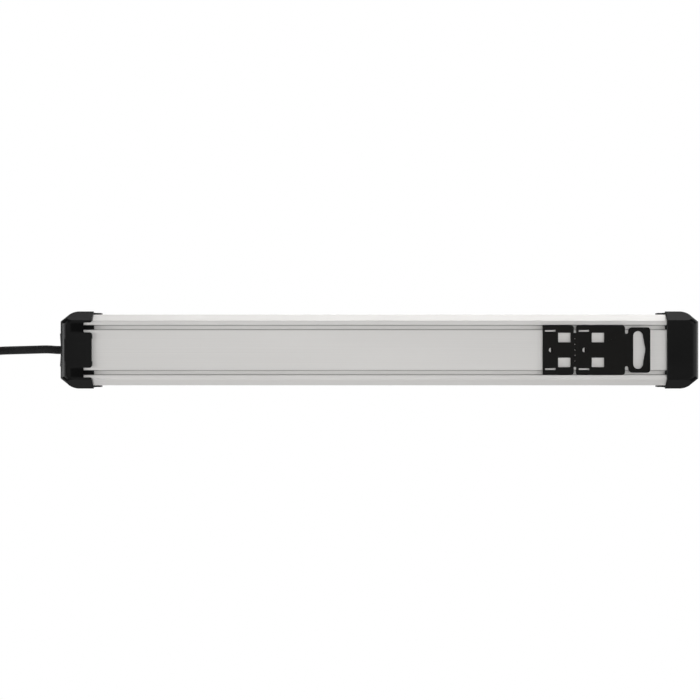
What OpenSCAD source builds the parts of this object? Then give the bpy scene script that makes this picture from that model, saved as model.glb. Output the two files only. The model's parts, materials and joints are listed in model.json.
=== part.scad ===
// Desk power strip: an aluminium profile with moulded end caps, a row of earthed
// sockets with shutters, a lit switch, a mains lead with its plug, and a card of
// mounting clips that slides in two grooves in the back.
// X runs along the strip with the lead at -X, Z points out of the sockets, and
// Z = 0 is the plane that the end caps' feet stand on.

/* [Strip] */
// Length over both end caps
strip_l = 540; // [500:1:640]
// Length of each end cap along the strip
cap_l = 27.5; // [24:0.5:32]
// How far the profile goes into each end cap
profile_entry = 15; // [12:0.5:16]
// Height of the caps' feet below the profile's back
foot_h = 2.75; // [2.5:0.05:4]
// How far the caps rise above the profile's front
brow_h = 2.75; // [2.5:0.05:4]
// How far each end cap stands out past the profile's sides
cap_rim = 2.75; // [2.25:0.05:5]

/* [Profile] */
// Width of the profile
profile_w = 60; // [58:0.5:64]
// Height of the profile
profile_h = 39.5; // [38:0.5:46]
// Wall of the profile
profile_wall = 1.8; // [1.4:0.1:2.2]
// Width of the chamfers along the back, across the strip
chamfer_w = 5.4; // [4:0.1:6]
// Height of the chamfers along the back
chamfer_h = 6; // [4:0.1:8]
// Radius of the profile's front edges
front_edge_r = 1.5; // [0.5:0.1:1.7]
// Width of the opening in the front
front_opening = 45; // [44.6:0.1:47]

/* [Grooves] */
// Distance between the two grooves
groove_pitch = 38.1; // [37:0.1:40]
// Width of a groove's mouth
groove_mouth = 4.2; // [4.2:0.1:5]
// Thickness of the lips beside the mouth
groove_lip = 1.4; // [1.2:0.1:1.8]
// Width of a groove behind its lips
groove_w = 7.4; // [7:0.1:8]
// Height of a groove behind its lips
groove_h = 2.8; // [2.6:0.1:3.4]
// Wall around a groove
groove_wall = 1.4; // [1.2:0.1:1.8]
// Side of the square screw port on each groove
port_w = 6; // [5.5:0.1:7]
// Diameter of the hole in a screw port
port_d = 3.2; // [2.8:0.1:3.6]
// Width of the slit along a screw port
port_slit = 1.6; // [1:0.1:2.4]

/* [End caps] */
// Length of the cut corners along the strip
corner_l = 10.7; // [6:0.1:12]
// Width of the cut corners across the strip
corner_w = 8.6; // [4:0.2:9]
// Radius between a cut corner and the long side
corner_r = 13; // [3:0.5:14]
// Radius of the end's edges
end_r = 6.5; // [3:0.5:7]
// Width of the chamfers along the cap's back
cap_chamfer_w = 7.6; // [6:0.2:8.4]
// Height of the chamfers along the cap's back
cap_chamfer_h = 8.8; // [7:0.2:10]
// Height of the rim beside the back's chamfers
rim_h = 1.5; // [0.8:0.1:3]
// How far the sides are set back behind the rim
rim_step = 0.95; // [0.4:0.05:1.1]
// Size of the chamfers along the cap's front
brow_chamfer = 4; // [2:0.5:5]
// Thickness of the cap's end wall
end_wall = 3; // [2.4:0.2:4]
// How far the side tongues reach along the profile
tongue_l = 4.7; // [3:0.1:12]
// Thickness of the side tongues
tongue_t = 1.4; // [1:0.1:1.9]
// Height of the side tongues
tongue_h = 10; // [8:0.5:22]
// Width of the keys in the groove mouths
key_w = 3.2; // [2.6:0.1:3.6]
// How far the keys reach out of the caps
key_l = 1.2; // [0.6:0.1:3]
// Width of the cord cap's windows over the grooves
window_w = 8.3; // [7:0.1:10]
// Depth of the cord cap's windows along the strip
window_l = 7.4; // [4:0.1:9]
// Length of the shallow trough that runs out from each window
trough_l = 10.4; // [6:0.2:11]
// Depth of the trough at its window
trough_t = 1.2; // [0.6:0.1:1.4]
// Width of the sunk panel on the cord cap's back
panel_w = 19; // [14:0.5:24]
// Depth of the sunk panel
panel_t = 0.45; // [0.2:0.05:0.8]
// Diameter of the cap screws
cap_screw_d = 3; // [2.6:0.1:3.1]
// Length of the cap screws under the head
cap_screw_l = 19; // [14:1:22]
// Diameter of the cap screws' heads
cap_head_d = 6.8; // [5.6:0.2:7]
// Height of the cap screws' heads
cap_head_h = 2.6; // [2:0.1:3]
// Depth of the counterbores for the cap screws
cap_bore_t = 5; // [4:0.2:6]

/* [Front] */
// How far the cover stands above the profile
cover_rise = 1.75; // [1:0.05:2.5]
// Radius of the cover's long edges
cover_edge_r = 1; // [0.4:0.1:1.2]
// Thickness of the cover's rails under the profile's lips
rail_t = 2; // [1.6:0.1:2.6]
// Width of the ledges under the rails
ledge_w = 2.2; // [1.6:0.1:3]
// Thickness of the ledges
ledge_t = 1.4; // [1:0.1:2]
// Distance from the cord end to the switch
switch_inset = 65; // [62:1:70]
// Distance from the switch to the first socket
switch_to_socket = 67; // [62:1:72]
// Distance from the last socket to the blank end
socket_inset = 78; // [76:1:90]

/* [Sockets] */
// Diameter of the socket wells
well_d = 39; // [38.5:0.1:39.4]
// Depth of the socket wells
well_depth = 17.5; // [17:0.1:18.5]
// Wall of the socket cups
cup_wall = 1.5; // [1.2:0.1:1.8]
// Thickness of the socket cups' floors
cup_floor = 2.5; // [2:0.1:3]
// Width of the rim that lies on the cover
rim_w = 1; // [0.6:0.1:1.2]
// Thickness of the rim
rim_t = 0.7; // [0.4:0.1:0.9]
// Distance between the two pin holes
pin_spacing = 19; // [18:0.1:20]
// Diameter of the pin holes
pin_hole_d = 5.6; // [5.2:0.1:6]
// Turn of the pin holes from the strip's length
pin_angle = 45; // [40:1:50]
// Width of the guide ribs in a well
rib_w = 5.2; // [4:0.1:6]
// How far the guide ribs stand out of the wall
rib_h = 2.1; // [1:0.1:2.4]
// How far the guide ribs stop below the rim
rib_drop = 3.5; // [2:0.5:6]

/* [Contacts and shutters] */
// Thickness of a shutter
shutter_t = 2; // [1.4:0.1:2.4]
// Radius of a shutter's wings
shutter_r = 13.2; // [12.6:0.1:13.8]
// Half the angle of a shutter's wing
wing_angle = 20; // [18:0.5:22]
// Diameter of the pin that a shutter turns on
pivot_d = 3; // [2.4:0.1:3.4]
// Height of a shutter's return spring
spring_h = 1.2; // [0.8:0.1:1.6]
// Wall of a shutter's return spring
spring_wall = 1; // [0.6:0.1:1.4]
// Thickness of the contact metal
metal_t = 0.8; // [0.6:0.05:1]
// Gap between the two blades of a contact
blade_gap = 4.9; // [4.6:0.1:5.2]
// Width of a contact along the strip
blade_w = 7; // [5:0.5:8]
// Width of the earth bar
earth_w = 4.4; // [3.5:0.1:4.8]
// Width of an earth clip
clip_w = 5; // [4:0.1:5.4]
// How far an earth clip bows into the well
clip_bow = 1.9; // [1:0.1:2.2]
// Thickness of the tray's floor
tray_floor = 1.6; // [1.2:0.1:2]
// Thickness of the tray's walls
tray_wall = 1.4; // [1:0.1:1.8]
// Distance of the tray's posts from a socket's middle
post_x = 14; // [13.6:0.1:15]
// Width of a post along the strip
post_w = 3; // [2.4:0.1:3.6]
// Width of a post across the strip
post_t = 3; // [2:0.1:3.2]

/* [Switch] */
// Length of the switch's cut-out
switch_l = 30; // [28:0.5:31]
// Width of the switch's cut-out
switch_w = 22; // [21:0.5:23]
// Depth of the switch's housing
switch_depth = 20; // [18:0.5:20]
// Wall of the switch's housing
switch_wall = 1.5; // [1.2:0.1:1.8]
// Width of the bezel around the cut-out
bezel_w = 1.5; // [1:0.1:2]
// Thickness of the bezel
bezel_t = 0.9; // [0.6:0.1:1.4]
// Length of the rocker
rocker_l = 24.4; // [22:0.2:24.6]
// Tilt of the rocker on each side
rocker_tilt = 9; // [6:0.5:10]
// Height of the rocker's ends above its pivot
rocker_h = 5.6; // [4.8:0.1:6.5]
// How deep the rocker's middle lies below its ends
rocker_dip = 2; // [1:0.1:2.6]
// Depth of the rocker below its pivot
rocker_keel = 5; // [3:0.5:6]
// Diameter of the rocker's pivot
rocker_pin_d = 3; // [2.4:0.1:3.4]
// Diameter of the lamp
lamp_d = 4; // [3:0.2:4.6]
// Length of the lamp
lamp_l = 10; // [6:0.5:14]
// Width of a terminal
tab_w = 6.3; // [5:0.1:6.5]
// Length of a terminal below the housing
tab_l = 9; // [8:0.5:10]

/* [Lead] */
// Diameter of the mains lead
cord_d = 7; // [6.4:0.1:7]
// Diameter of a core
core_d = 2.4; // [2:0.1:2.6]
// Width of the gland's plate
gland_w = 28; // [22:0.5:30]
// Height of the gland's plate
gland_h = 18; // [14:0.5:20]
// How deep the gland's plate is let into the end
gland_sunk = 1.2; // [0.8:0.1:1.6]
// How far the gland's plate stands proud at its ends
gland_proud = 2; // [1:0.1:2.5]
// How far the gland's plate stands proud at the lead
gland_low = 1.15; // [0.5:0.05:1.5]
// Diameter of the gland's bush in the end wall
bush_d = 11; // [10:0.2:12]
// Diameter of the gland's sleeve
sleeve_d = 8.2; // [8.2:0.1:9]
// Length of the gland's sleeve outside the cap
sleeve_l = 2.5; // [2:0.5:6]
// Length of the cord clamp
clamp_l = 7; // [5:0.5:8]
// Distance between the clamp's screws
clamp_pitch = 14.4; // [13.6:0.2:15]
// Thickness of the clamp over the lead
clamp_t = 4; // [3:0.2:5]
// Diameter of the clamp's screws
clamp_screw_d = 2.8; // [2.4:0.1:3]

/* [Plug] */
// Diameter of the plug's face
plug_d = 36; // [34:0.5:37]
// Length of the plug's body
plug_l = 34; // [30:0.5:40]
// Length of the plug's straight front
plug_front_l = 16; // [10:0.5:18]
// Diameter of the plug's back
plug_back_d = 21; // [18:0.5:26]
// Diameter of the plug's pins
plug_pin_d = 4.8; // [4.6:0.1:5]
// Length of the plug's pins
plug_pin_l = 19; // [18:0.5:19.5]
// Length of the plug's boot
boot_l = 20; // [18:0.5:24]
// Diameter of the boot at the plug
boot_d = 14; // [12:0.5:16]
// Diameter of the boot at the lead
boot_tip_d = 9.4; // [9:0.1:11]

/* [Clip card] */
// Distance from the strip's end to the card
card_inset = 41.6; // [36:0.2:60]
// Thickness of the card
card_t = 2; // [1.6:0.1:2.2]
// Width of the clips
clip_card_w = 42.1; // [41:0.1:44]
// Distance from the first clip to the second
clip_pitch = 28.35; // [28:0.05:30]
// Length of the second clip
long_clip_l = 41.05; // [38:0.05:46]
// Gap between the two clips
break_gap = 2.2; // [1:0.1:3]
// Gap between the second clip and the hang tab
tab_gap = 2.85; // [1:0.05:4]
// Width of the web that joins the two clips
web_w = 28.6; // [20:0.2:30]
// Width of the web that joins the hang tab
tab_web_w = 30.2; // [20:0.2:31]
// Diameter of the small holes along the break
perforation_d = 0.9; // [0.6:0.1:1.4]
// Length of the hang tab
tab_card_l = 18.45; // [16:0.05:22]
// Width of the hang tab
tab_card_w = 38.2; // [36:0.2:40]
// Radius of the corners at a clip's far edge
card_r = 2.6; // [1:0.1:3]
// Radius of the corners at the second clip's near edge
break_r = 1.8; // [0.5:0.1:2.4]
// Radius of the hang tab's corners beside its web
tab_r = 3.5; // [1:0.1:4]
// Length of the hang slot across the strip
hang_l = 32; // [30:0.5:33]
// Width of the hang slot
hang_w = 8.4; // [6:0.1:9]
// Height of the hang slot's peak
hang_peak = 1.9; // [1:0.1:2.5]
// Distance of the hang slot from the tab's edge
hang_edge = 4.1; // [3:0.1:5]
// Diameter of the screw holes
screw_hole_d = 4; // [3.4:0.1:4.6]
// Distance of a screw hole from its clip's edge
screw_hole_x = 7.1; // [4.5:0.1:8]
// Start of a spring arm's slot from its clip's edge
slot_x = 2; // [1.6:0.1:3]
// Length of a spring arm's slot
slot_l = 8.9; // [7:0.1:9.4]
// Width of a spring arm's slot
slot_w = 1.8; // [1:0.1:2]
// Distance of a slot's middle from the card's middle
slot_y = 16.3; // [15.8:0.1:16.4]
// Start of a window from its clip's edge
hatch_x = 13; // [12.4:0.1:13.6]
// Length of a window
hatch_l = 10.5; // [8:0.1:11]
// Width of a window
hatch_w = 8; // [6:0.1:8.4]
// Distance of a window's middle from the card's middle
hatch_y = 10.5; // [10:0.1:10.6]
// Width of the feet's necks in the groove mouths
neck_w = 3.4; // [2.6:0.1:3.6]
// Width of the feet's heads behind the lips
head_w = 6.2; // [5.4:0.1:6.4]
// Thickness of the feet's heads
head_t = 1.8; // [1.2:0.1:2]

/* [Coil] */
// Radius of the coil's inner turn
coil_r = 27.3; // [26:0.1:30]
// Number of turns in the coil
coil_turns = 5.6667; // [5.6667,4.6667]
// Gap between the turns
coil_gap = 0.35; // [0.3:0.05:0.8]
// Thickness of the ties around the coil
tie_t = 1.2; // [0.8:0.1:1.4]
// Width of the ties
tie_w = 8; // [5:0.5:10]

/* [Clearances] */
// Between moulded pieces that slide into each other
slide_gap = 0.25; // [0.2:0.05:0.3]
// Between pieces that lie on each other
seat_gap = 0.1; // [0.05:0.05:0.15]
// Around pins that turn
pivot_gap = 0.15; // [0.1:0.05:0.2]
// Around screws in their holes
screw_gap = 0.1; // [0.1:0.05:0.2]
// Between the card and the profile's back
card_gap = 0.15; // [0.1:0.05:0.2]
// Around the lead where it passes through a piece
cord_gap = 0.15; // [0.1:0.05:0.2]

/* [Hidden] */
socket_count = 6;
module_names = ["socket_", "shutter_"];
$fn = 64;
over = 1;
merge = 0.1;
spill = 0.35;

end_x = strip_l / 2;
cap_w = profile_w + 2 * cap_rim;
cap_x = end_x - cap_l;
profile_x = cap_x + profile_entry;
inner_end_x = end_x - end_wall;
tongue_r = 0.6;
chamber_half = 13;
port_room = 2;
cross_half = 2;
cross_t = 1.2;
window_r = 0.8;
mouth_r = 2.5;

z_back = foot_h;
z_front = z_back + profile_h;
z_top = z_front + brow_h;
z_floor = z_back + profile_wall;
groove_y = groove_pitch / 2;
groove_top = z_back + groove_lip + groove_h + groove_wall;
port_z = groove_top + port_w / 2;
port_top = groove_top + port_w;

rail_top = z_front - profile_wall - seat_gap;
rail_low = rail_top - rail_t;
ledge_top = rail_low - seat_gap;
cover_top = z_front + cover_rise;
cover_x = cap_x - slide_gap;
cover_half = front_opening / 2 - slide_gap;

switch_x = switch_inset - end_x;
first_x = switch_x + switch_to_socket;
socket_pitch = (end_x - socket_inset - first_x) / (socket_count - 1);
function socket_x(i) = first_x + (i - 1) * socket_pitch;

cup_r = well_d / 2 + cup_wall;
pin_lead = 1;
clip_hole_w = clip_w + 4 * slide_gap;
clip_air = 0.4;
clip_bend = 1;
clip_tip_set = 0.3;
clip_bow_share = 0.45;
clip_tip_share = 0.72;
rim_top = cover_top + rim_t;
well_floor = rim_top - well_depth;
cup_low = well_floor - cup_floor;
shutter_gap = 0.4;
shutter_top = cup_low - shutter_gap;
shutter_low = shutter_top - shutter_t;
spring_top = shutter_low - 2 * seat_gap;
spring_low = spring_top - spring_h;
spring_r = pivot_d / 2 + 2 * pivot_gap;
earth_top = spring_low;
earth_low = earth_top - metal_t;
air_gap = 1;
blade_top = shutter_low - air_gap;
pin_y = pin_spacing / 2 * sin(pin_angle);
pin_x = pin_spacing / 2 * cos(pin_angle);

tray_half = groove_y - groove_w / 2 - groove_wall - slide_gap;
tray_low = z_floor + seat_gap;
tray_top = tray_low + tray_floor;
tray_wall_top = earth_low - air_gap;
bar_top = tray_top + metal_t;
bar_half = blade_gap / 2 + metal_t;
bar_run = 46;
bar_x = first_x - bar_run;
tray_x = bar_x - 3 * air_gap;
last_bar_x = socket_x(socket_count) + pin_x + blade_w;
lug_h = 12.75;

cord_z = z_back + profile_h / 2;
cord_r = cord_d / 2;
core_r = core_d / 2;
core_sides = 8;
core_steps = 10;
core_level = 0.1;
core_set = 1.5;
core_lift = 0.9;
earth_core_drop = 1.8;
cord_sides = 12;
coil_sides = 6;
coil_rings = 24;
sheath_x = -cap_x - over;
bush_in = 2;
shelf_t = 7;
shelf_l = 11;
shelf_root = 5;
shelf_half = 11;
shelf_top = cord_z - cord_r - seat_gap;
shelf_low = shelf_top - shelf_t;
shelf_x = shelf_l - profile_x;
clamp_set = 2;
clamp_lift = 0.6;
clamp_thread = 5.5;
clamp_x = clamp_set - profile_x;
clamp_top = cord_z + cord_r + clamp_t;
clamp_screw_z = shelf_top - clamp_thread;
screw_head_h = 2;
slot_half = 0.4;
slot_t = 0.8;

housing_low = cover_top - switch_depth;
housing_l = switch_l - 2 * slide_gap;
housing_w = switch_w - 2 * slide_gap;
housing_floor = 2;
pivot_l = housing_w - switch_wall - 2 * slide_gap;
pivot_hole_r = rocker_pin_d / 2 + pivot_gap;
rocker_drop = 4;
rocker_lip = 1;
rocker_z = cover_top - rocker_drop;
rocker_w = housing_w - 2 * switch_wall - 4 * slide_gap;
tab_x = 9;
tab_y = 5.5;
tab_z = housing_low - tab_l;
wire_rise = 2;
wire_z = tab_z + wire_rise;
earth_core_z = 12;
tag_core_y = 0.8;
tag_core_z = 8.8;
tag_core_pull = 30;

tag_set = 6;
tag_x = tag_set - cap_x;
tag_r = port_w / 2;
tag_reach = 8;
tag_half = 2;

card_z = z_back - card_gap - card_t;
card_half = clip_card_w / 2;
short_clip_l = clip_pitch - break_gap;
tab_card_x = clip_pitch + long_clip_l + tab_gap;
card_l = tab_card_x + tab_card_l;
card_x = end_x - card_inset - card_l;
web_root = 0.5;
edge_r = 0.5;
hole_rows = 2;
peak_half = 11.5;
peak_flat = 1.5;
slot_foot_l = slot_l - 1.6;
hatch_foot_l = hatch_l - 2;
end_foot_x = clip_pitch + long_clip_l - 9;
end_foot_l = 6.5;
foot_root = 0.2;

// The lead's route: X from the strip's end, Y and Z from the floor under the strip.
exit_x = -end_x;
coil_c = [exit_x - 117, -25];
coil_start = 60;
coil_pitch = cord_d + coil_gap;
lie_gap = 0.4;
tie_room = cord_r + 0.3;
tie_slack = 0.5;
coil_low = cord_r + tie_t + lie_gap;
coil_high = coil_low + coil_pitch;
coil_half = coil_turns / 2;
plug_z = coil_high + cord_r + lie_gap + plug_d / 2;
plug_y = -3.3;
plug_x = exit_x - 111;
lead_points = [
    [0, 0, cord_z],
    [-5, 0, cord_z],
    [-14, -0.5, cord_z],
    [-24, -0.3, 22],
    [-34, 0, 20.3],
    [-44, 0.3, 17.6],
    [-54, 0.8, 14.2],
    [-63, 2.2, 11],
    [-71, 4.8, 8.4],
    [-79, 8.6, 6.4]
];
tail_points = [
    [-78.5, -58.3, 13.2],
    [-72.6, -50.2, 15],
    [-69.5, -40.7, 17.6],
    [-69.5, -30.7, 20.8],
    [-72.6, -21.2, 24.2],
    [-78.5, -13.1, 27.6],
    [-86.6, -7.2, 30.6],
    [-96.1, -4.1, 32.9]
];
earth_strip_t = 1;
earth_strip_half = 2.6;
earth_strip_set = 4;
plug_notch_half = 2.7;
boot_ribs = 4;
boot_cut = 1.2;
plug_edge_r = 1.5;
plug_slot_half = 3;
plug_slot_t = 2;

black = [0.07, 0.07, 0.075];
soft_black = [0.10, 0.10, 0.105];
silver = [0.80, 0.80, 0.79];
brass = [0.80, 0.66, 0.36];
nickel = [0.75, 0.74, 0.70];
steel = [0.62, 0.63, 0.65];

// Stretch a section drawn in Y and Z from one X to another.
module along_x(from, to) {
    translate([from, 0, 0])
        rotate([90, 0, 90])
            linear_extrude(to - from)
                children();
}

// Stretch a side view drawn in X and Z from one Y to another.
module along_y(from, to) {
    translate([0, to, 0])
        rotate([90, 0, 0])
            linear_extrude(to - from)
                children();
}

// Place a child at both signs of Y.
module both_sides() {
    children();
    mirror([0, 1, 0])
        children();
}

// A box between two corners.
module block(low, high) {
    translate(low)
        cube(high - low);
}

// A rod along X.
module rod_x(from, to, r) {
    translate([from, 0, 0])
        rotate([0, 90, 0])
            cylinder(h = to - from, r = r);
}

function unit(v) = v / norm(v);

// What rounding takes off a corner c between the edges that leave it along a and b.
module round_off(c, a, b, r) {
    half = acos(unit(a) * unit(b)) / 2;
    run = r / tan(half);
    centre = c + unit(unit(a) + unit(b)) * r / sin(half);
    on_a = c + unit(a) * run;
    on_b = c + unit(b) * run;
    difference() {
        polygon([
            centre, on_a + (on_a - centre) * spill, c + (c - centre) * spill, on_b + (on_b - centre) * spill
        ]);
        translate(centre)
            circle(r);
    }
}

// A tube through points, with flat ends square to its first and last steps.
module tube(points, r, sides, up = [0, 0, 1]) {
    last = len(points) - 1;
    function heading(i) =
        i == 0 ? unit(points[1] - points[0]) :
        i == last ? unit(points[last] - points[last - 1]) :
        unit(unit(points[i + 1] - points[i]) + unit(points[i] - points[i - 1]));
    corners = [
        for (i = [0:last])
            let (t = heading(i), s = unit(cross(up, t)), u = cross(t, s))
                for (k = [0:sides - 1])
                    points[i] + r * (cos(k * 360 / sides) * s + sin(k * 360 / sides) * u)
    ];
    walls = [
        for (i = [0:last - 1], k = [0:sides - 1])
            let (a = i * sides + k, b = i * sides + (k + 1) % sides)
                each [[a, a + sides, b], [b, a + sides, b + sides]]
    ];
    first_end = [for (k = [1:sides - 2]) [0, k, k + 1]];
    other_end = [for (k = [1:sides - 2]) [last * sides, last * sides + k + 1, last * sides + k]];
    polyhedron(corners, concat(walls, first_end, other_end));
}

chamfer_run = norm([chamfer_w, chamfer_h]);

// The profile's outline, grown outwards by g.
function outline(g) =
    let (
        back = profile_w / 2 - chamfer_w + g * chamfer_h / (chamfer_run + chamfer_w),
        side = profile_w / 2 + g,
        rise = z_back + chamfer_h - g * chamfer_w / (chamfer_run + chamfer_h)
    )
        [[-back, z_back - g], [back, z_back - g], [side, rise],
         [side, z_front + g], [-side, z_front + g], [-side, rise]];

module groove_block() {
    outer = groove_w + 2 * groove_wall;
    translate([groove_y - outer / 2, z_back])
        square([outer, groove_top - z_back]);
    translate([groove_y - port_w / 2, groove_top - over])
        square([port_w, port_w + over]);
    translate([profile_w / 2 - profile_wall - ledge_w, ledge_top - ledge_t])
        square([ledge_w + over, ledge_t]);
}

module groove_cut() {
    translate([groove_y - groove_w / 2, z_back + groove_lip])
        square([groove_w, groove_h]);
    translate([groove_y - groove_mouth / 2, z_back - over])
        square([groove_mouth, groove_lip + 2 * over]);
    translate([groove_y, port_z])
        circle(d = port_d);
    translate([groove_y - port_slit / 2, port_z])
        square([port_slit, port_w]);
    round_off([profile_w / 2, z_front], [-1, 0], [0, -1], front_edge_r);
}

module both_halves() {
    children();
    mirror([1, 0])
        children();
}

module both_halves_y() {
    children();
    mirror([0, 1])
        children();
}

module profile_section() {
    difference() {
        polygon(outline(0));
        difference() {
            polygon(outline(-profile_wall));
            both_halves()
                groove_block();
        }
        translate([-front_opening / 2, z_front - profile_wall - over])
            square([front_opening, profile_wall + 2 * over]);
        both_halves()
            groove_cut();
    }
}

module profile() {
    color(silver)
        difference() {
            along_x(-profile_x, profile_x)
                profile_section();
            translate([tag_x, groove_y, port_z])
                cylinder(h = port_w, d = port_d);
        }
}

module cover_section() {
    difference() {
        union() {
            rail_half = profile_w / 2 - profile_wall - slide_gap;
            translate([-rail_half, rail_low])
                square([2 * rail_half, rail_t]);
            translate([-cover_half, rail_low])
                square([2 * cover_half, cover_top - rail_low]);
        }
        both_halves()
            round_off([cover_half, cover_top], [-1, 0], [0, -1], cover_edge_r);
    }
}

module front_cover() {
    color(black)
        difference() {
            along_x(-cover_x, cover_x)
                cover_section();
            for (i = [1:socket_count])
                translate([socket_x(i), 0, rail_low - over])
                    cylinder(h = cover_top, r = cup_r + slide_gap);
            translate([switch_x - switch_l / 2, -switch_w / 2, rail_low - over])
                cube([switch_l, switch_w, cover_top]);
        }
}

// One socket cup, with its guide ribs in line with the pin holes.
module socket(i) {
    color(black)
        translate([socket_x(i), 0, 0])
            rotate([0, 0, pin_angle]) {
                difference() {
                    union() {
                        translate([0, 0, cup_low])
                            cylinder(h = rim_top - cup_low, r = cup_r);
                        translate([0, 0, cover_top])
                            cylinder(h = rim_t, r = cup_r + rim_w);
                    }
                    translate([0, 0, well_floor])
                        cylinder(h = well_depth + over, d = well_d);
                    for (side = [-1, 1]) {
                        translate([side * pin_spacing / 2, 0, cup_low - over])
                            cylinder(h = cup_floor + 2 * over, d = pin_hole_d);
                        translate([side * pin_spacing / 2, 0, well_floor - pin_lead])
                            cylinder(h = pin_lead, d1 = pin_hole_d, d2 = pin_hole_d + 2 * pin_lead);
                        translate([-clip_hole_w / 2, side * (well_d / 2 - over) - over, cup_low - over])
                            cube([clip_hole_w, 2 * over, cup_floor + over]);
                    }
                }
                intersection() {
                    for (side = [-1, 1])
                        translate([side * well_d / 2 - rib_h, -rib_w / 2, well_floor - over])
                            cube([2 * rib_h, rib_w, well_depth - rib_drop + over]);
                    cylinder(h = rim_top, r = well_d / 2 + cup_wall / 2);
                }
                translate([0, 0, earth_top + seat_gap])
                    cylinder(h = cup_low - earth_top + seat_gap, d = pivot_d);
            }
}

// One shutter: two wings that cover the pin holes, on a hub that turns under the cup.
module shutter(i) {
    reach = shutter_r / cos(wing_angle);
    edge = reach * sin(wing_angle);
    wing = [[0, 0], [shutter_r, -edge], [shutter_r, edge]];
    color("dimgray")
        translate([socket_x(i), 0, shutter_low])
            rotate([0, 0, pin_angle])
                linear_extrude(shutter_t)
                    difference() {
                        union() {
                            intersection() {
                                circle(shutter_r);
                                union() {
                                    polygon(wing);
                                    polygon(-wing);
                                }
                            }
                            circle(spring_r + spring_wall);
                        }
                        circle(pivot_d / 2 + pivot_gap);
                    }
}

module shutter_springs() {
    color(steel)
        for (i = [1:socket_count])
            translate([socket_x(i), 0, spring_low])
                difference() {
                    cylinder(h = spring_h, r = spring_r + spring_wall);
                    translate([0, 0, -over])
                        cylinder(h = spring_h + 2 * over, r = spring_r);
                }
}

module base_tray() {
    end = socket_x(socket_count) + cup_r;
    color([0.35, 0.35, 0.36]) {
        difference() {
            block([tray_x, -tray_half, tray_low], [end, tray_half, tray_wall_top]);
            block(
                [tray_x - over, -tray_half + tray_wall, tray_top],
                [end + over, tray_half - tray_wall, z_front]
            );
        }
        for (i = [1:socket_count], side = [-1, 1]) {
            x = socket_x(i) + side * post_x;
            y = side * (tray_half - post_t / 2);
            block(
                [x - post_w / 2, y - post_t / 2, tray_low],
                [x + post_w / 2, y + post_t / 2, cup_low - seat_gap]
            );
        }
    }
}

// A contact bar with two upright blades at each pin, on the side of Y that is given.
module contact_bar(side) {
    translate([0, side * pin_y, 0]) {
        block([bar_x, -bar_half, tray_top], [last_bar_x, bar_half, bar_top]);
        block([bar_x - metal_t, -bar_half, tray_top], [bar_x + merge, bar_half, tray_top + lug_h]);
        for (i = [1:socket_count], edge = [-1, 1]) {
            x = socket_x(i) + side * pin_x;
            y = edge * (blade_gap + metal_t) / 2;
            block(
                [x - blade_w / 2, y - metal_t / 2, tray_top],
                [x + blade_w / 2, y + metal_t / 2, blade_top]
            );
        }
    }
}

module live_bar() {
    color(brass)
        contact_bar(1);
}

module neutral_bar() {
    color(brass)
        contact_bar(-1);
}

// One earth clip, drawn along X: an arm from the bar, then a bowed spring up the well's wall.
module earth_arm() {
    out = well_d / 2 - clip_air;
    root = out - metal_t;
    bend_z = well_floor + clip_bend;
    bow_z = well_floor + well_depth * clip_bow_share;
    tip_z = well_floor + well_depth * clip_tip_share;
    block([0, -clip_w / 2, earth_low], [out, clip_w / 2, earth_top]);
    along_y(-clip_w / 2, clip_w / 2)
        polygon([
            [root, earth_low], [out, earth_low], [out, bend_z],
            [out - clip_bow, bow_z], [out - clip_tip_set, tip_z],
            [root - clip_tip_set, tip_z], [root - clip_bow, bow_z], [root, bend_z]
        ]);
}

module earth_bar() {
    color(brass) {
        block([bar_x, -earth_w / 2, earth_low], [socket_x(socket_count), earth_w / 2, earth_top]);
        block([bar_x - metal_t, -earth_w / 2, bar_top + slot_t], [bar_x + merge, earth_w / 2, earth_top]);
        for (i = [1:socket_count], side = [-90, 90])
            translate([socket_x(i), 0, 0])
                rotate([0, 0, pin_angle + side])
                    earth_arm();
    }
}

module switch_housing() {
    color(black)
        translate([switch_x, 0, 0])
            difference() {
                union() {
                    block(
                        [-housing_l / 2, -housing_w / 2, housing_low],
                        [housing_l / 2, housing_w / 2, cover_top + bezel_t]
                    );
                    block(
                        [-switch_l / 2 - bezel_w, -switch_w / 2 - bezel_w, cover_top],
                        [switch_l / 2 + bezel_w, switch_w / 2 + bezel_w, cover_top + bezel_t]
                    );
                }
                block(
                    [switch_wall - housing_l / 2, switch_wall - housing_w / 2, housing_low + housing_floor],
                    [housing_l / 2 - switch_wall, housing_w / 2 - switch_wall, z_top + over]
                );
                translate([0, 0, rocker_z])
                    rotate([90, 0, 0])
                        cylinder(h = pivot_l + 2 * slide_gap, r = pivot_hole_r, center = true);
            }
}

module switch_rocker() {
    half = rocker_l / 2;
    color([0.75, 0.08, 0.06])
        translate([switch_x, 0, rocker_z])
            rotate([0, rocker_tilt, 0]) {
                along_y(-rocker_w / 2, rocker_w / 2)
                    polygon([
                        [-half, rocker_lip], [-rocker_keel, -rocker_keel], [rocker_keel, -rocker_keel],
                        [half, rocker_lip], [half, rocker_h], [0, rocker_h - rocker_dip], [-half, rocker_h]
                    ]);
                rotate([90, 0, 0])
                    cylinder(h = pivot_l, d = rocker_pin_d, center = true);
            }
}

module switch_lamp() {
    color([1, 0.55, 0.25])
        translate([switch_x, 0, housing_low + housing_floor + lamp_d / 2 + seat_gap])
            rod_x(-lamp_l / 2, lamp_l / 2, lamp_d / 2);
}

module switch_terminals() {
    color(brass)
        for (x = [-tab_x, tab_x], y = [-tab_y, tab_y])
            translate([switch_x + x, y, 0])
                block([-tab_w / 2, -metal_t / 2, tab_z], [tab_w / 2, metal_t / 2, housing_low]);
}

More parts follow.
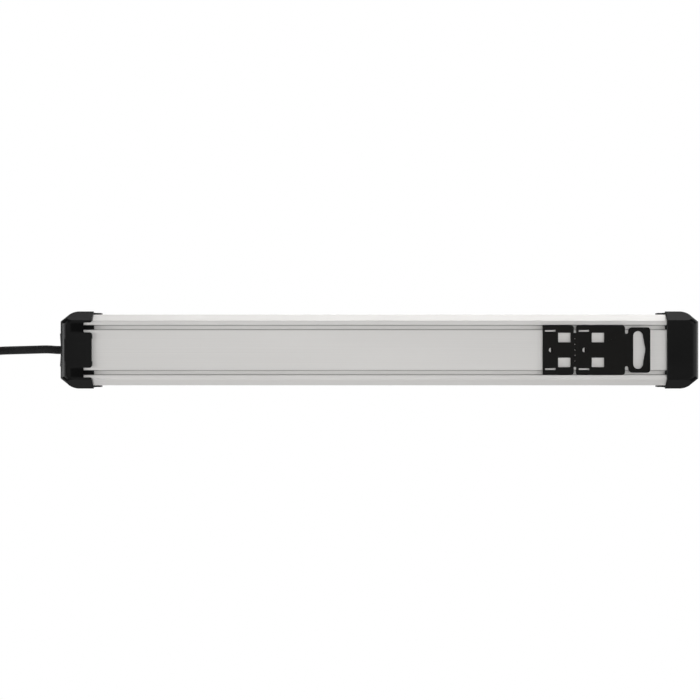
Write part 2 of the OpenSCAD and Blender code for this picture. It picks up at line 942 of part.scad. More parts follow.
module cap_plan() {
    half = cap_w / 2;
    cut = [corner_l, -corner_w];
    difference() {
        polygon([
            [cap_x, -half], [end_x - corner_l, -half], [end_x, corner_w - half],
            [end_x, half - corner_w], [end_x - corner_l, half], [cap_x, half]
        ]);
        both_halves_y()
            round_off([end_x - corner_l, half], [-1, 0], cut, corner_r);
    }
}

module cap_end_view() {
    half = cap_w / 2;
    side = half - rim_step;
    step_z = cap_chamfer_h + rim_h;
    both_halves()
        polygon([
            [0, 0], [half - cap_chamfer_w, 0], [half, cap_chamfer_h], [half, step_z],
            [side, step_z + rim_step], [side, z_top - brow_chamfer], [side - brow_chamfer, z_top], [0, z_top]
        ]);
}

module cap_side_view() {
    difference() {
        translate([cap_x - over, 0])
            square([cap_l + over, z_top]);
        round_off([end_x, 0], [-1, 0], [0, 1], end_r);
        round_off([end_x, z_top], [-1, 0], [0, -1], end_r);
    }
}

// What the round edges along a cut corner take off the cap.
module corner_edges() {
    across = corner_l + corner_w;
    translate([end_x, cap_w / 2 - corner_w, 0])
        rotate([0, 0, atan2(corner_l, corner_w)])
            along_y(-across, across) {
                round_off([0, 0], [-1, 0], [0, 1], end_r);
                round_off([0, z_top], [-1, 0], [0, -1], end_r);
            }
}

module side_tongue() {
    low = (z_back + z_front - tongue_h) / 2;
    inner = profile_w / 2 + slide_gap;
    tip = cap_x - tongue_l;
    along_y(inner, inner + tongue_t)
        difference() {
            translate([tip, low])
                square([tongue_l + over, tongue_h]);
            round_off([tip, low], [1, 0], [0, 1], tongue_r);
            round_off([tip, low + tongue_h], [1, 0], [0, -1], tongue_r);
        }
}

// The form that both end caps share, at the +X end.
module cap_form() {
    difference() {
        intersection() {
            linear_extrude(z_top)
                cap_plan();
            along_x(cap_x - over, end_x + over)
                cap_end_view();
            along_y(-cap_w, cap_w)
                cap_side_view();
        }
        both_sides()
            corner_edges();
        along_x(cap_x - over, profile_x + slide_gap)
            polygon(outline(slide_gap));
        block([cap_x, -chamber_half, z_floor], [inner_end_x, chamber_half, rail_low]);
        block(
            [cap_x, -front_opening / 2, port_top + port_room],
            [inner_end_x, front_opening / 2, rail_low]
        );
        for (side = [-1, 1])
            translate([0, side * groove_y, port_z]) {
                rod_x(cap_x, end_x + over, cap_screw_d / 2 + screw_gap);
                rod_x(end_x - cap_bore_t, end_x + over, cap_head_d / 2 + screw_gap);
            }
    }
    both_sides()
        side_tongue();
    for (side = [-1, 1])
        translate([0, side * groove_y, 0])
            block(
                [cap_x - key_l, -key_w / 2, z_back - 2 * slide_gap],
                [profile_x - over, key_w / 2, z_back + groove_lip - seat_gap]
            );
}

module cap_screws() {
    seat = end_x - cap_bore_t;
    color(steel)
        for (side = [-1, 1])
            translate([0, side * groove_y, port_z])
                difference() {
                    union() {
                        rod_x(seat - cap_screw_l, seat + merge, cap_screw_d / 2);
                        rod_x(seat, seat + cap_head_h, cap_head_d / 2);
                    }
                    for (turn = [0, 90])
                        rotate([turn, 0, 0])
                            block(
                                [seat + cap_head_h - cross_t, -cross_half, -slot_half],
                                [seat + cap_head_h + over, cross_half, slot_half]
                            );
                }
}

module blank_cap() {
    color(black)
        cap_form();
}

module blank_cap_screws() {
    cap_screws();
}

module cord_cap_screws() {
    mirror([1, 0, 0])
        cap_screws();
}

// What the cord cap's back loses at a window: the window, the round corners of its mouth, its trough.
module cap_window() {
    deep = -cap_x - window_l;
    half = window_w / 2;
    translate([0, 0, -over])
        linear_extrude(z_back - slide_gap + over) {
            difference() {
                translate([deep, -half])
                    square([window_l + over, window_w]);
                both_halves_y()
                    round_off([deep, half], [1, 0], [0, -1], window_r);
            }
            both_halves_y()
                round_off([-cap_x, half], [0, 1], [-1, 0], mouth_r);
        }
    along_y(-half, half)
        polygon([
            [deep + over, -over], [deep + over, trough_t], [deep, trough_t],
            [deep - trough_l, 0], [deep - trough_l, -over]
        ]);
}

module cord_cap() {
    color(black) {
        difference() {
            mirror([1, 0, 0])
                cap_form();
            for (side = [-1, 1])
                translate([0, side * groove_y, 0])
                    cap_window();
            block([-end_x - over, -panel_w / 2, -over], [-cap_x - panel_t, panel_w / 2, panel_t]);
            block([-cap_x - panel_t, -panel_w / 2, -over], [-cap_x + over, panel_w / 2, z_back]);
            block(
                [-end_x - over, -gland_w / 2 - seat_gap, cord_z - gland_h / 2 - seat_gap],
                [gland_sunk - end_x, gland_w / 2 + seat_gap, cord_z + gland_h / 2 + seat_gap]
            );
            translate([0, 0, cord_z])
                rod_x(-end_x - over, over - inner_end_x, bush_d / 2 + seat_gap);
        }
        difference() {
            union() {
                block(
                    [-inner_end_x - web_root, -shelf_half, shelf_low],
                    [-profile_x, shelf_half, cord_z - bush_d / 2 - clamp_lift]
                );
                block([-profile_x - shelf_root, -shelf_half, shelf_low], [shelf_x, shelf_half, shelf_top]);
            }
            for (side = [-1, 1])
                translate([clamp_x + clamp_l / 2, side * clamp_pitch / 2, clamp_screw_z])
                    cylinder(h = shelf_t, d = clamp_screw_d + screw_gap);
        }
    }
}

module cord_gland() {
    half = gland_w / 2;
    low = cord_z - gland_h / 2;
    color(soft_black)
        difference() {
            union() {
                translate([0, 0, low])
                    linear_extrude(gland_h)
                        polygon([
                            [gland_sunk - end_x, -half], [gland_sunk - end_x, half],
                            [-end_x - gland_proud, half], [-end_x - gland_low, 0],
                            [-end_x - gland_proud, -half]
                        ]);
                translate([0, 0, cord_z]) {
                    rod_x(gland_sunk - end_x - merge, bush_in - inner_end_x, bush_d / 2);
                    rod_x(-end_x - sleeve_l, gland_sunk - end_x, sleeve_d / 2);
                }
            }
            translate([0, 0, cord_z])
                rod_x(-end_x - sleeve_l - over, bush_in + over - inner_end_x, cord_r + cord_gap);
        }
}

module cord_sheath() {
    color(soft_black)
        translate([0, 0, cord_z])
            rod_x(exit_x, sheath_x, cord_r);
}

module cord_clamp() {
    color(black)
        difference() {
            block(
                [clamp_x, slide_gap - shelf_half, shelf_top + clamp_lift],
                [clamp_x + clamp_l, shelf_half - slide_gap, clamp_top]
            );
            block(
                [clamp_x - over, -cord_r - seat_gap, 0],
                [clamp_x + clamp_l + over, cord_r + seat_gap, cord_z]
            );
            translate([0, 0, cord_z])
                rod_x(clamp_x - over, clamp_x + clamp_l + over, cord_r + seat_gap);
            for (side = [-1, 1])
                translate([clamp_x + clamp_l / 2, side * clamp_pitch / 2, 0])
                    cylinder(h = z_top, d = clamp_screw_d + 3 * screw_gap);
        }
}

module clamp_screws() {
    color(steel)
        for (side = [-1, 1])
            translate([clamp_x + clamp_l / 2, side * clamp_pitch / 2, 0])
                difference() {
                    union() {
                        translate([0, 0, clamp_screw_z + slide_gap])
                            cylinder(h = clamp_top - clamp_screw_z, d = clamp_screw_d);
                        translate([0, 0, clamp_top])
                            cylinder(h = screw_head_h, d = 2 * clamp_screw_d);
                    }
                    block(
                        [-2 * clamp_screw_d, -slot_half, clamp_top + screw_head_h - slot_t],
                        [2 * clamp_screw_d, slot_half, clamp_top + screw_head_h + over]
                    );
                }
}

// A core's route from one point to another, level at both ends.
function core_run(from, to) = [
    for (k = [0:core_steps])
        let (t = k / core_steps, turn = eased(held((t - core_level) / (1 - 2 * core_level))))
            from + [(to - from)[0] * t, (to - from)[1] * turn, (to - from)[2] * turn]
];

// A core's route from one point to another that leaves the first towards a and reaches the last from b.
function core_bend(from, a, b, to) = [
    for (k = [0:core_steps])
        let (t = k / core_steps, s = 1 - t)
            s * s * s * from + 3 * s * s * t * a + 3 * s * t * t * b + t * t * t * to
];

// The core from the lead to the switch, and the one from the switch to its bar.
module switched_core(side) {
    from = switch_x - tab_x - tab_w / 2;
    to = switch_x + tab_x + tab_w / 2;
    lug_x = bar_x - metal_t;
    color(side > 0 ? [0.36, 0.20, 0.10] : [0.10, 0.25, 0.65]) {
        tube(
            core_run([sheath_x, side * core_set, cord_z + core_lift], [from, side * tab_y, wire_z]),
            core_r, core_sides
        );
        tube([[to, side * tab_y, wire_z], [lug_x, side * tab_y, wire_z]], core_r, core_sides);
    }
}

module wire_live() {
    switched_core(1);
}

module wire_neutral() {
    switched_core(-1);
}

module wire_earth() {
    lug_x = bar_x - metal_t;
    tail_y = groove_y - tag_reach;
    tail_z = port_top + metal_t / 2;
    color([0.35, 0.60, 0.15]) {
        tube(
            core_run([sheath_x, 0, cord_z - earth_core_drop], [lug_x, 0, earth_core_z]),
            core_r, core_sides
        );
        tube(
            concat(
                [[tag_x, tail_y, tail_z]],
                core_bend(
                    [tag_x, tail_y - core_d, tail_z], [tag_x, tag_core_y, tail_z],
                    [lug_x - tag_core_pull, tag_core_y, tag_core_z], [lug_x - core_d, tag_core_y, tag_core_z]
                ),
                [[lug_x, tag_core_y, tag_core_z]]
            ),
            core_r, core_sides
        );
    }
}

module earth_tag() {
    color(brass)
        translate([tag_x, groove_y, port_top])
            difference() {
                union() {
                    cylinder(h = metal_t, r = tag_r);
                    block([-tag_half, -tag_reach, 0], [tag_half, 0, metal_t]);
                }
                translate([0, 0, -over])
                    cylinder(h = metal_t + 2 * over, d = port_d + screw_gap);
            }
}

module earth_screw() {
    color(steel)
        translate([tag_x, groove_y, port_top])
            difference() {
                union() {
                    translate([0, 0, slide_gap - port_w / 2])
                        cylinder(h = port_w / 2 + metal_t, d = port_d - 2 * screw_gap);
                    translate([0, 0, metal_t])
                        cylinder(h = screw_head_h, r = tag_r - slide_gap);
                }
                block(
                    [-port_w, -slot_half, metal_t + screw_head_h - slot_t],
                    [port_w, slot_half, metal_t + screw_head_h + over]
                );
            }
}

// One clip's outline from its edge at X = 0, with a screw hole, two spring arms and two windows.
module clip_plan(l, near_r) {
    difference() {
        translate([0, -card_half])
            square([l, clip_card_w]);
        both_halves_y() {
            round_off([l, card_half], [-1, 0], [0, -1], card_r);
            round_off([0, card_half], [1, 0], [0, -1], near_r);
        }
        translate([screw_hole_x, 0])
            circle(d = screw_hole_d);
        both_halves_y() {
            translate([slot_x, slot_y - slot_w / 2])
                square([slot_l, slot_w]);
            translate([hatch_x, hatch_y - hatch_w / 2])
                square([hatch_l, hatch_w]);
        }
    }
}

module hang_tab_plan() {
    half = tab_card_w / 2;
    slot_r = hang_w / 2;
    middle = hang_edge + slot_r;
    difference() {
        translate([0, -half])
            square([tab_card_l, tab_card_w]);
        both_halves_y() {
            round_off([tab_card_l, half], [-1, 0], [0, -1], card_r);
            round_off([0, half], [1, 0], [0, -1], tab_r);
            translate([middle, hang_l / 2 - slot_r])
                circle(slot_r);
        }
        translate([hang_edge, slot_r - hang_l / 2])
            square([hang_w, hang_l - hang_w]);
        translate([middle, 0])
            polygon([
                [0, -peak_half], [slot_r, -peak_half], [slot_r + hang_peak, -peak_flat],
                [slot_r + hang_peak, peak_flat], [slot_r, peak_half], [0, peak_half]
            ]);
    }
}

// A foot that hooks behind a groove's lips, from its start along the card.
module clip_foot(x, l) {
    neck_top = z_back + groove_lip + card_gap;
    translate([x, groove_y, 0]) {
        block([0, -neck_w / 2, card_z + card_t - foot_root], [l, neck_w / 2, neck_top + merge]);
        block([0, -head_w / 2, neck_top], [l, head_w / 2, neck_top + head_t]);
    }
}

module clip_card() {
    color(soft_black)
        translate([card_x, 0, 0]) {
            translate([0, 0, card_z])
                linear_extrude(card_t) {
                    clip_plan(short_clip_l, edge_r);
                    translate([clip_pitch, 0])
                        clip_plan(long_clip_l, break_r);
                    translate([tab_card_x, 0])
                        hang_tab_plan();
                    difference() {
                        translate([short_clip_l - web_root, -web_w / 2])
                            square([break_gap + 2 * web_root, web_w]);
                        for (row = [-hole_rows:hole_rows])
                            translate([short_clip_l + break_gap / 2, row * web_w / (2 * hole_rows + 2)])
                                circle(d = perforation_d);
                    }
                    difference() {
                        translate([tab_card_x - tab_gap - web_root, -tab_web_w / 2])
                            square([tab_gap + 2 * web_root, tab_web_w]);
                        for (side = [-1, 1])
                            translate([tab_card_x - tab_gap / 2, side * tab_web_w / 2])
                                circle(d = tab_gap);
                    }
                }
            both_sides() {
                for (x = [0, clip_pitch]) {
                    clip_foot(x + slot_x + (slot_l - slot_foot_l) / 2, slot_foot_l);
                    clip_foot(x + hatch_x + (hatch_l - hatch_foot_l) / 2, hatch_foot_l);
                }
                clip_foot(end_foot_x, end_foot_l);
            }
        }
}

function eased(t) = t * t * (3 - 2 * t);
function held(t) = min(1, max(0, t));

// A point on the coil's middle line: in along the lower layer, up through the half turn
// where the spiral reverses, and out along the upper layer.
function coil_point(turn) =
    let (
        r = coil_r + abs(turn - coil_half) * coil_pitch,
        angle = coil_start + 360 * turn,
        lift = eased(held((turn - coil_half + 0.25) / 0.5))
    )
        [coil_c[0] + r * cos(angle), coil_c[1] + r * sin(angle), coil_low + lift * (coil_high - coil_low)];

coil_steps = round(coil_rings * coil_turns);
coil_line = [for (k = [0:coil_steps]) coil_point(k * coil_turns / coil_steps)];

// The least distance between turns that lie beside or on each other, less the lead's own thickness.
coil_room = min([
    for (a = [0:coil_steps - coil_rings / 2], b = [a + coil_rings / 2:coil_steps])
        norm(coil_line[a] - coil_line[b])
]) - cord_d;
echo(coil_least_gap = coil_room);

// The lead and the tail meet the coil in line with its first and last steps.
coil_first = coil_line[0];
coil_last = coil_line[coil_steps];
coil_in = unit(coil_line[1] - coil_first);
coil_out = unit(coil_last - coil_line[coil_steps - 1]);

function from_exit(points) = [for (p = points) [exit_x + p[0], p[1], p[2]]];

lead_line = concat(
    from_exit(lead_points),
    [coil_first - cord_d * coil_in, coil_first]
);
tail_line = concat(
    [coil_last, coil_last + cord_d * coil_out],
    from_exit(tail_points),
    [[plug_x + cord_d, plug_y, plug_z], [plug_x, plug_y, plug_z]]
);

function route_l(points, i = 1) =
    i == len(points) ? 0 : norm(points[i] - points[i - 1]) + route_l(points, i + 1);
echo(lead_length = route_l(lead_line) + route_l(coil_line) + route_l(tail_line));

module cord_lead() {
    color(soft_black)
        tube(lead_line, cord_r, cord_sides);
}

module cord_coil() {
    color(soft_black)
        tube(coil_line, cord_r, coil_sides);
}

module cord_tail() {
    color(soft_black)
        tube(tail_line, cord_r, cord_sides);
}

// A band around the turns that lie between two radii at an angle of the coil.
module coil_tie(angle, inner, outer) {
    low = coil_low - tie_room;
    high = coil_high + tie_room;
    near = inner - tie_room - tie_slack;
    far = outer + tie_room;
    translate([coil_c[0], coil_c[1], 0])
        rotate([0, 0, angle])
            along_y(-tie_w / 2, tie_w / 2)
                difference() {
                    translate([near - tie_t, low - tie_t])
                        square([far - near + 2 * tie_t, high - low + 2 * tie_t]);
                    translate([near, low])
                        square([far - near, high - low]);
                }
}

module coil_ties() {
    color(black)
        for (angle = [180, 270]) {
            first = (angle - coil_start) / 360;
            radii = [for (turn = [first:coil_turns]) coil_r + abs(turn - coil_half) * coil_pitch];
            coil_tie(angle, min(radii), max(radii));
        }
}

// Pieces of the plug, drawn with the pins along +X and placed to point away from the strip.
module plug_place() {
    translate([plug_x, plug_y, plug_z])
        rotate([0, 0, 180])
            children();
}

module plug_boot() {
    color(soft_black)
        plug_place()
            rotate([0, 90, 0])
                difference() {
                    cylinder(h = boot_l, d1 = boot_tip_d, d2 = boot_d);
                    for (k = [1:boot_ribs])
                        translate([0, 0, k * boot_l / (boot_ribs + 2)])
                            difference() {
                                cylinder(h = boot_cut, d = boot_d + over);
                                translate([0, 0, -over])
                                    cylinder(h = boot_cut + 2 * over, d = cord_d + boot_cut);
                            }
                }
}

module plug_body() {
    front = boot_l + plug_l - plug_front_l;
    color(black)
        plug_place()
            difference() {
                rotate([0, 90, 0])
                    rotate_extrude()
                        difference() {
                            polygon([
                                [0, boot_l], [plug_back_d / 2, boot_l], [plug_d / 2, front],
                                [plug_d / 2, boot_l + plug_l], [0, boot_l + plug_l]
                            ]);
                            round_off([plug_d / 2, boot_l + plug_l], [-1, 0], [0, -1], plug_edge_r);
                        }
                for (side = [-1, 1]) {
                    translate([front + earth_strip_set, 0, side * plug_d / 2])
                        block(
                            [0, -plug_slot_half, -plug_slot_t],
                            [plug_front_l, plug_slot_half, plug_slot_t]
                        );
                    translate([front, side * plug_d / 2, 0])
                        block(
                            [-over, -plug_slot_t, -plug_notch_half],
                            [plug_front_l + over, plug_slot_t, plug_notch_half]
                        );
                }
            }
}

module plug_pins() {
    face = boot_l + plug_l;
    color(nickel)
        plug_place()
            for (side = [-1, 1])
                translate([0, side * pin_spacing / 2, 0]) {
                    rod_x(face, face + plug_pin_l - plug_pin_d / 2, plug_pin_d / 2);
                    translate([face + plug_pin_l - plug_pin_d / 2, 0, 0])
                        sphere(d = plug_pin_d);
                }
}

module plug_earth() {
    front = boot_l + plug_l - plug_front_l + earth_strip_set;
    end = boot_l + plug_l - over;
    low = plug_d / 2 - plug_slot_t + seat_gap;
    color(nickel)
        plug_place()
            for (side = [0, 1])
                mirror([0, 0, side])
                    block(
                        [front + seat_gap, -earth_strip_half, low],
                        [end, earth_strip_half, low + earth_strip_t]
                    );
}

profile();
front_cover();
for (i = [1:socket_count]) {
    socket(i);
    shutter(i);
}
shutter_springs();
base_tray();
live_bar();
neutral_bar();
earth_bar();
switch_housing();
switch_rocker();
switch_lamp();
switch_terminals();
cord_cap();
blank_cap();
cord_cap_screws();
blank_cap_screws();
cord_gland();
cord_sheath();
cord_clamp();
clamp_screws();
wire_live();
wire_neutral();
wire_earth();
earth_tag();
earth_screw();
clip_card();
cord_lead();
cord_coil();
cord_tail();
coil_ties();
plug_boot();
plug_body();
plug_pins();
plug_earth();
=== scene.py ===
"""Looks of a desk power strip: finishes, softened mouldings, the wound lead and a plain studio."""

import json
import logging
import math
from dataclasses import dataclass
from enum import Enum
from typing import Any, Protocol, Sequence

import bmesh
import bpy
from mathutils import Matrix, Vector

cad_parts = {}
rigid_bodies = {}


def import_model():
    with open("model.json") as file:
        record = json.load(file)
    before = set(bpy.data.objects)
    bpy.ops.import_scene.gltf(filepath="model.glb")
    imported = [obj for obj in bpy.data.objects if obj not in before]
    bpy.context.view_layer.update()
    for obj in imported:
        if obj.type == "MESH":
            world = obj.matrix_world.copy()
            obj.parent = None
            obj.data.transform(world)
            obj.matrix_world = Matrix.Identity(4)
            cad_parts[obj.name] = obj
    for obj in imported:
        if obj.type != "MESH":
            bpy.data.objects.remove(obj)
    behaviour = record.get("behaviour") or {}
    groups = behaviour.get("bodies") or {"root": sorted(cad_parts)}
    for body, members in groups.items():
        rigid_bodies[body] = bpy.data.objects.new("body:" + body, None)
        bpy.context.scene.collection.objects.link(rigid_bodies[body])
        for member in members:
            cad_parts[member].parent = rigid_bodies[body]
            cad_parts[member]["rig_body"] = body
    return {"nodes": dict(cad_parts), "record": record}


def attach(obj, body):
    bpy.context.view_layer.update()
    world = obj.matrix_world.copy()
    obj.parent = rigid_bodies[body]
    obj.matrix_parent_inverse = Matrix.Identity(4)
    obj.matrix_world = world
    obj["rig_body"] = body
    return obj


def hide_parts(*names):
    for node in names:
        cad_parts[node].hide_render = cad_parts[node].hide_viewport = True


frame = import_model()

# Metres in a millimetre.
MM = 0.001
# The middle of a range from 0 to 1.
MID = 0.5
# Points closer than this, in metres, are one.
WELD = 2e-6
# Sockets of Blender's Mix node for colours.
MIX_SHARE, MIX_FIRST, MIX_SECOND, MIX_RESULT = 0, 6, 7, 2
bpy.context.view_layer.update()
NODES: dict[str, bpy.types.Object] = frame["nodes"]
SLOT_OF: dict[str, str] = {part["node"]: part["material_slot"] for part in frame["record"]["subparts"]}
LOG = logging.getLogger("power_strip")

Point = tuple[float, float, float]
Colour = tuple[float, float, float]
Span = tuple[float, float]


def metres(point: Sequence[float]) -> Vector:
    """Turn a point in millimetres into a vector in metres."""
    return Vector(point) * MM


@dataclass(frozen=True)
class Grain:
    """A noise with so many features a metre along each axis."""

    per_metre: Point
    detail: float = 2.0
    rough: float = 0.5


def even_grain(size: float, detail: float, rough: float) -> Grain:
    """Give a grain with features of one size, in metres, along every axis."""
    return Grain((1.0 / size,) * 3, detail, rough)


class Wire:
    """A node's output that takes part in Python expressions."""

    def __init__(self, shader: "Shader", socket: bpy.types.NodeSocket | None) -> None:
        """Keep the shader that the output belongs to, and the output, which an end node lacks."""
        self.shader = shader
        self.socket = socket

    def __add__(self, other: "Wire | float") -> "Wire":
        """Add a number or another wire."""
        return self.shader.maths("ADD", self, other)

    def __sub__(self, other: "Wire | float") -> "Wire":
        """Take off a number or another wire."""
        return self.shader.maths("SUBTRACT", self, other)

    def __rsub__(self, other: float) -> "Wire":
        """Take this wire off a number."""
        return self.shader.maths("SUBTRACT", other, self)

    def __mul__(self, other: "Wire | float") -> "Wire":
        """Multiply by a number or another wire."""
        return self.shader.maths("MULTIPLY", self, other)

    def size(self) -> "Wire":
        """Drop the sign."""
        return self.shader.maths("ABSOLUTE", self, 0.0)

    def rise(self, span: Span) -> "Wire":
        """Rise smoothly from 0 at the span's low end to 1 at its high end."""
        settings = {"interpolation_type": "SMOOTHSTEP"}
        inputs = {"Value": self, "From Min": span[0], "From Max": span[1]}
        return self.shader.node("ShaderNodeMapRange", settings, inputs)

    def rise_mm(self, start: float, fade: float) -> "Wire":
        """Rise smoothly from 0 at the start to 1 after the fade, both in millimetres."""
        return self.rise((start * MM, (start + fade) * MM))


class Shader:
    """A material or world whose nodes are being joined up."""

    def __init__(self, owner: bpy.types.Material | bpy.types.World) -> None:
        """Start from an empty node tree."""
        owner.use_nodes = True
        self.tree = owner.node_tree
        self.tree.nodes.clear()

    def node(
        self,
        kind: str,
        settings: dict[str, Any] | None = None,
        inputs: dict[str | int, Any] | None = None,
        output: int | str = 0,
    ) -> Wire:
        """Add a node.

        Args:
            kind: The node's type.
            settings: Its settings.
            inputs: Values or wires for its sockets.
            output: The output that is wanted.

        Returns:
            That output.
        """
        made = self.tree.nodes.new(kind)
        for name, value in (settings or {}).items():
            setattr(made, name, value)
        for name, value in (inputs or {}).items():
            if isinstance(value, Wire):
                self.tree.links.new(value.socket, made.inputs[name])
            else:
                made.inputs[name].default_value = value
        return Wire(self, made.outputs[output] if made.outputs else None)

    def maths(self, operation: str, first: Wire | float, second: Wire | float) -> Wire:
        """Join two values by a Math node's operation."""
        return self.node("ShaderNodeMath", {"operation": operation}, {0: first, 1: second})

    def blend(self, share: Wire, first: Colour | Wire, second: Colour | Wire) -> Wire:
        """Mix two colours by a share from 0 to 1."""
        tones = [(*tone, 1.0) if isinstance(tone, tuple) else tone for tone in (first, second)]
        inputs = {MIX_SHARE: share, MIX_FIRST: tones[0], MIX_SECOND: tones[1]}
        return self.node("ShaderNodeMix", {"data_type": "RGBA"}, inputs, MIX_RESULT)

    def place(self, stretch: Point = (1.0, 1.0, 1.0)) -> Wire:
        """Give the object's own coordinates, times a stretch along each axis."""
        where = self.node("ShaderNodeTexCoord", output="Object")
        return self.node("ShaderNodeVectorMath", {"operation": "MULTIPLY"}, {0: where, 1: stretch})

    def axis(self, name: str) -> Wire:
        """Give one of the object's own coordinates, in metres."""
        where = self.node("ShaderNodeTexCoord", output="Object")
        return self.node("ShaderNodeSeparateXYZ", inputs={0: where}, output=name)

    def noise(self, grain: Grain) -> Wire:
        """Give a grain's noise, from 0 to 1."""
        where = self.place(grain.per_metre)
        inputs = {"Vector": where, "Scale": 1.0, "Detail": grain.detail, "Roughness": grain.rough}
        return self.node("ShaderNodeTexNoise", inputs=inputs)

    def bands(self, direction: str, inputs: dict[str, Any]) -> Wire:
        """Give bands across a direction, from 0 to 1."""
        return self.node("ShaderNodeTexWave", {"bands_direction": direction}, inputs, "Fac")

    def cells(self, per_metre: float) -> Wire:
        """Give the distance to the nearest of scattered points, so many to a metre."""
        return self.node("ShaderNodeTexVoronoi", inputs={"Vector": self.place(), "Scale": per_metre})

    def bump(self, height: Wire, depth: float, strength: float = 1.0) -> Wire:
        """Turn a height from 0 to 1 into a normal, with the depth in metres."""
        inputs = {"Height": height, "Distance": depth, "Strength": strength}
        return self.node("ShaderNodeBump", inputs=inputs)

    def surface(self, **inputs: Any) -> None:
        """End the tree in a principled surface with these sockets, spaces written as underscores."""
        named = {name.replace("_", " "): value for name, value in inputs.items()}
        skin = self.node("ShaderNodeBsdfPrincipled", inputs=named)
        self.node("ShaderNodeOutputMaterial", inputs={"Surface": skin})


class Finish(Protocol):
    """What a piece's surface is made of."""

    def material(self) -> bpy.types.Material:
        """Make the finish's material."""


def new_material(name: str, tone: Colour) -> tuple[bpy.types.Material, Shader]:
    """Start a material.

    Args:
        name: The material's name.
        tone: Its plain colour in a viewport.

    Returns:
        The material, and the shader that fills it.
    """
    made = bpy.data.materials.new(name)
    made.diffuse_color = (*tone, 1.0)
    return made, Shader(made)


@dataclass(frozen=True)
class PaintedGrooveShade:
    """Painted shade in the corners of the two grooves, behind their lips where light doesn't reach, in
    millimetres.
    """

    middle_y: float = 19.05
    mouth_half: float = 2.1
    groove_half: float = 3.7
    low_z: float = 4.0
    shade: float = 0.5
    edge: float = 0.15
    rise_z: float = 0.3

    def share(self, shader: Shader) -> Wire:
        """Give 1 in the corners behind the grooves' lips, 0 in the middle of the mouths and outside."""
        off = (shader.axis("Y").size() - self.middle_y * MM).size()
        corner = off.rise_mm(self.mouth_half / 2, self.mouth_half / 2)
        inside = 1 - off.rise_mm(self.groove_half, self.edge)
        return corner * inside * shader.axis("Z").rise_mm(self.low_z, self.rise_z)


@dataclass(frozen=True)
class DrawnAluminium:
    """Satin anodised aluminium with the fine lines that a die leaves along an extrusion."""

    name: str
    tone: Colour
    line_tone: Colour
    roughness: float = 0.5
    metal: float = 0.75
    lines: Grain = Grain((3.0, 1500.0, 1500.0), 3.0, 0.6)
    hairs: Grain = Grain((14.0, 5200.0, 5200.0), 2.0, 0.55)
    clouds: Grain = Grain((9.0, 30.0, 30.0))
    hair_share: float = 0.3
    tone_span: Span = (0.25, 0.75)
    line_gloss: float = 0.10
    cloud_gloss: float = 0.06
    line_depth: float = 0.000008
    line_strength: float = 0.5
    film: PaintedGrooveShade = PaintedGrooveShade()

    def material(self) -> bpy.types.Material:
        """Make lines along X in colour, gloss and height, clouds in the gloss, and painted shade in the
        grooves' corners.
        """
        made, shader = new_material(self.name, self.tone)
        lines, hairs = shader.noise(self.lines), shader.noise(self.hairs)
        height = lines * (1 - self.hair_share) + hairs * self.hair_share
        cloud = shader.noise(self.clouds)
        drawn = shader.blend(height.rise(self.tone_span), self.line_tone, self.tone)
        # The grooves' corners darkened by half: painted shade where the lips keep the light out.
        painted_shade_tone = tuple(part * (1 - self.film.shade) for part in self.tone)
        gloss = (height - MID) * self.line_gloss + (cloud - MID) * self.cloud_gloss + self.roughness
        shader.surface(
            Base_Color=shader.blend(self.film.share(shader), drawn, painted_shade_tone),
            Metallic=self.metal,
            Roughness=gloss,
            Normal=shader.bump(height, self.line_depth, self.line_strength),
        )
        return made


@dataclass(frozen=True)
class MattPatchWithPaintedShade:
    """A matt, darker patch of a moulding's back on each side of its middle line, in millimetres; the
    darker tone is painted shade in the recessed troughs there.
    """

    from_x: float
    to_x: float
    middle_y: float
    half_y: float
    top_z: float
    fade: float = 2.5
    # Darker than the cap around it: painted shade.
    tone: Colour = (0.0022, 0.0022, 0.0022)

    def share(self, shader: Shader) -> Wire:
        """Give 1 in the patches and 0 elsewhere, with soft edges."""
        along = shader.axis("X")
        off = (shader.axis("Y").size() - self.middle_y * MM).size()
        within = along.rise_mm(self.from_x, self.fade) * (1 - along.rise_mm(self.to_x, self.fade))
        low = 1 - shader.axis("Z").rise_mm(self.top_z, self.fade)
        return within * (1 - off.rise_mm(self.half_y, self.fade)) * low


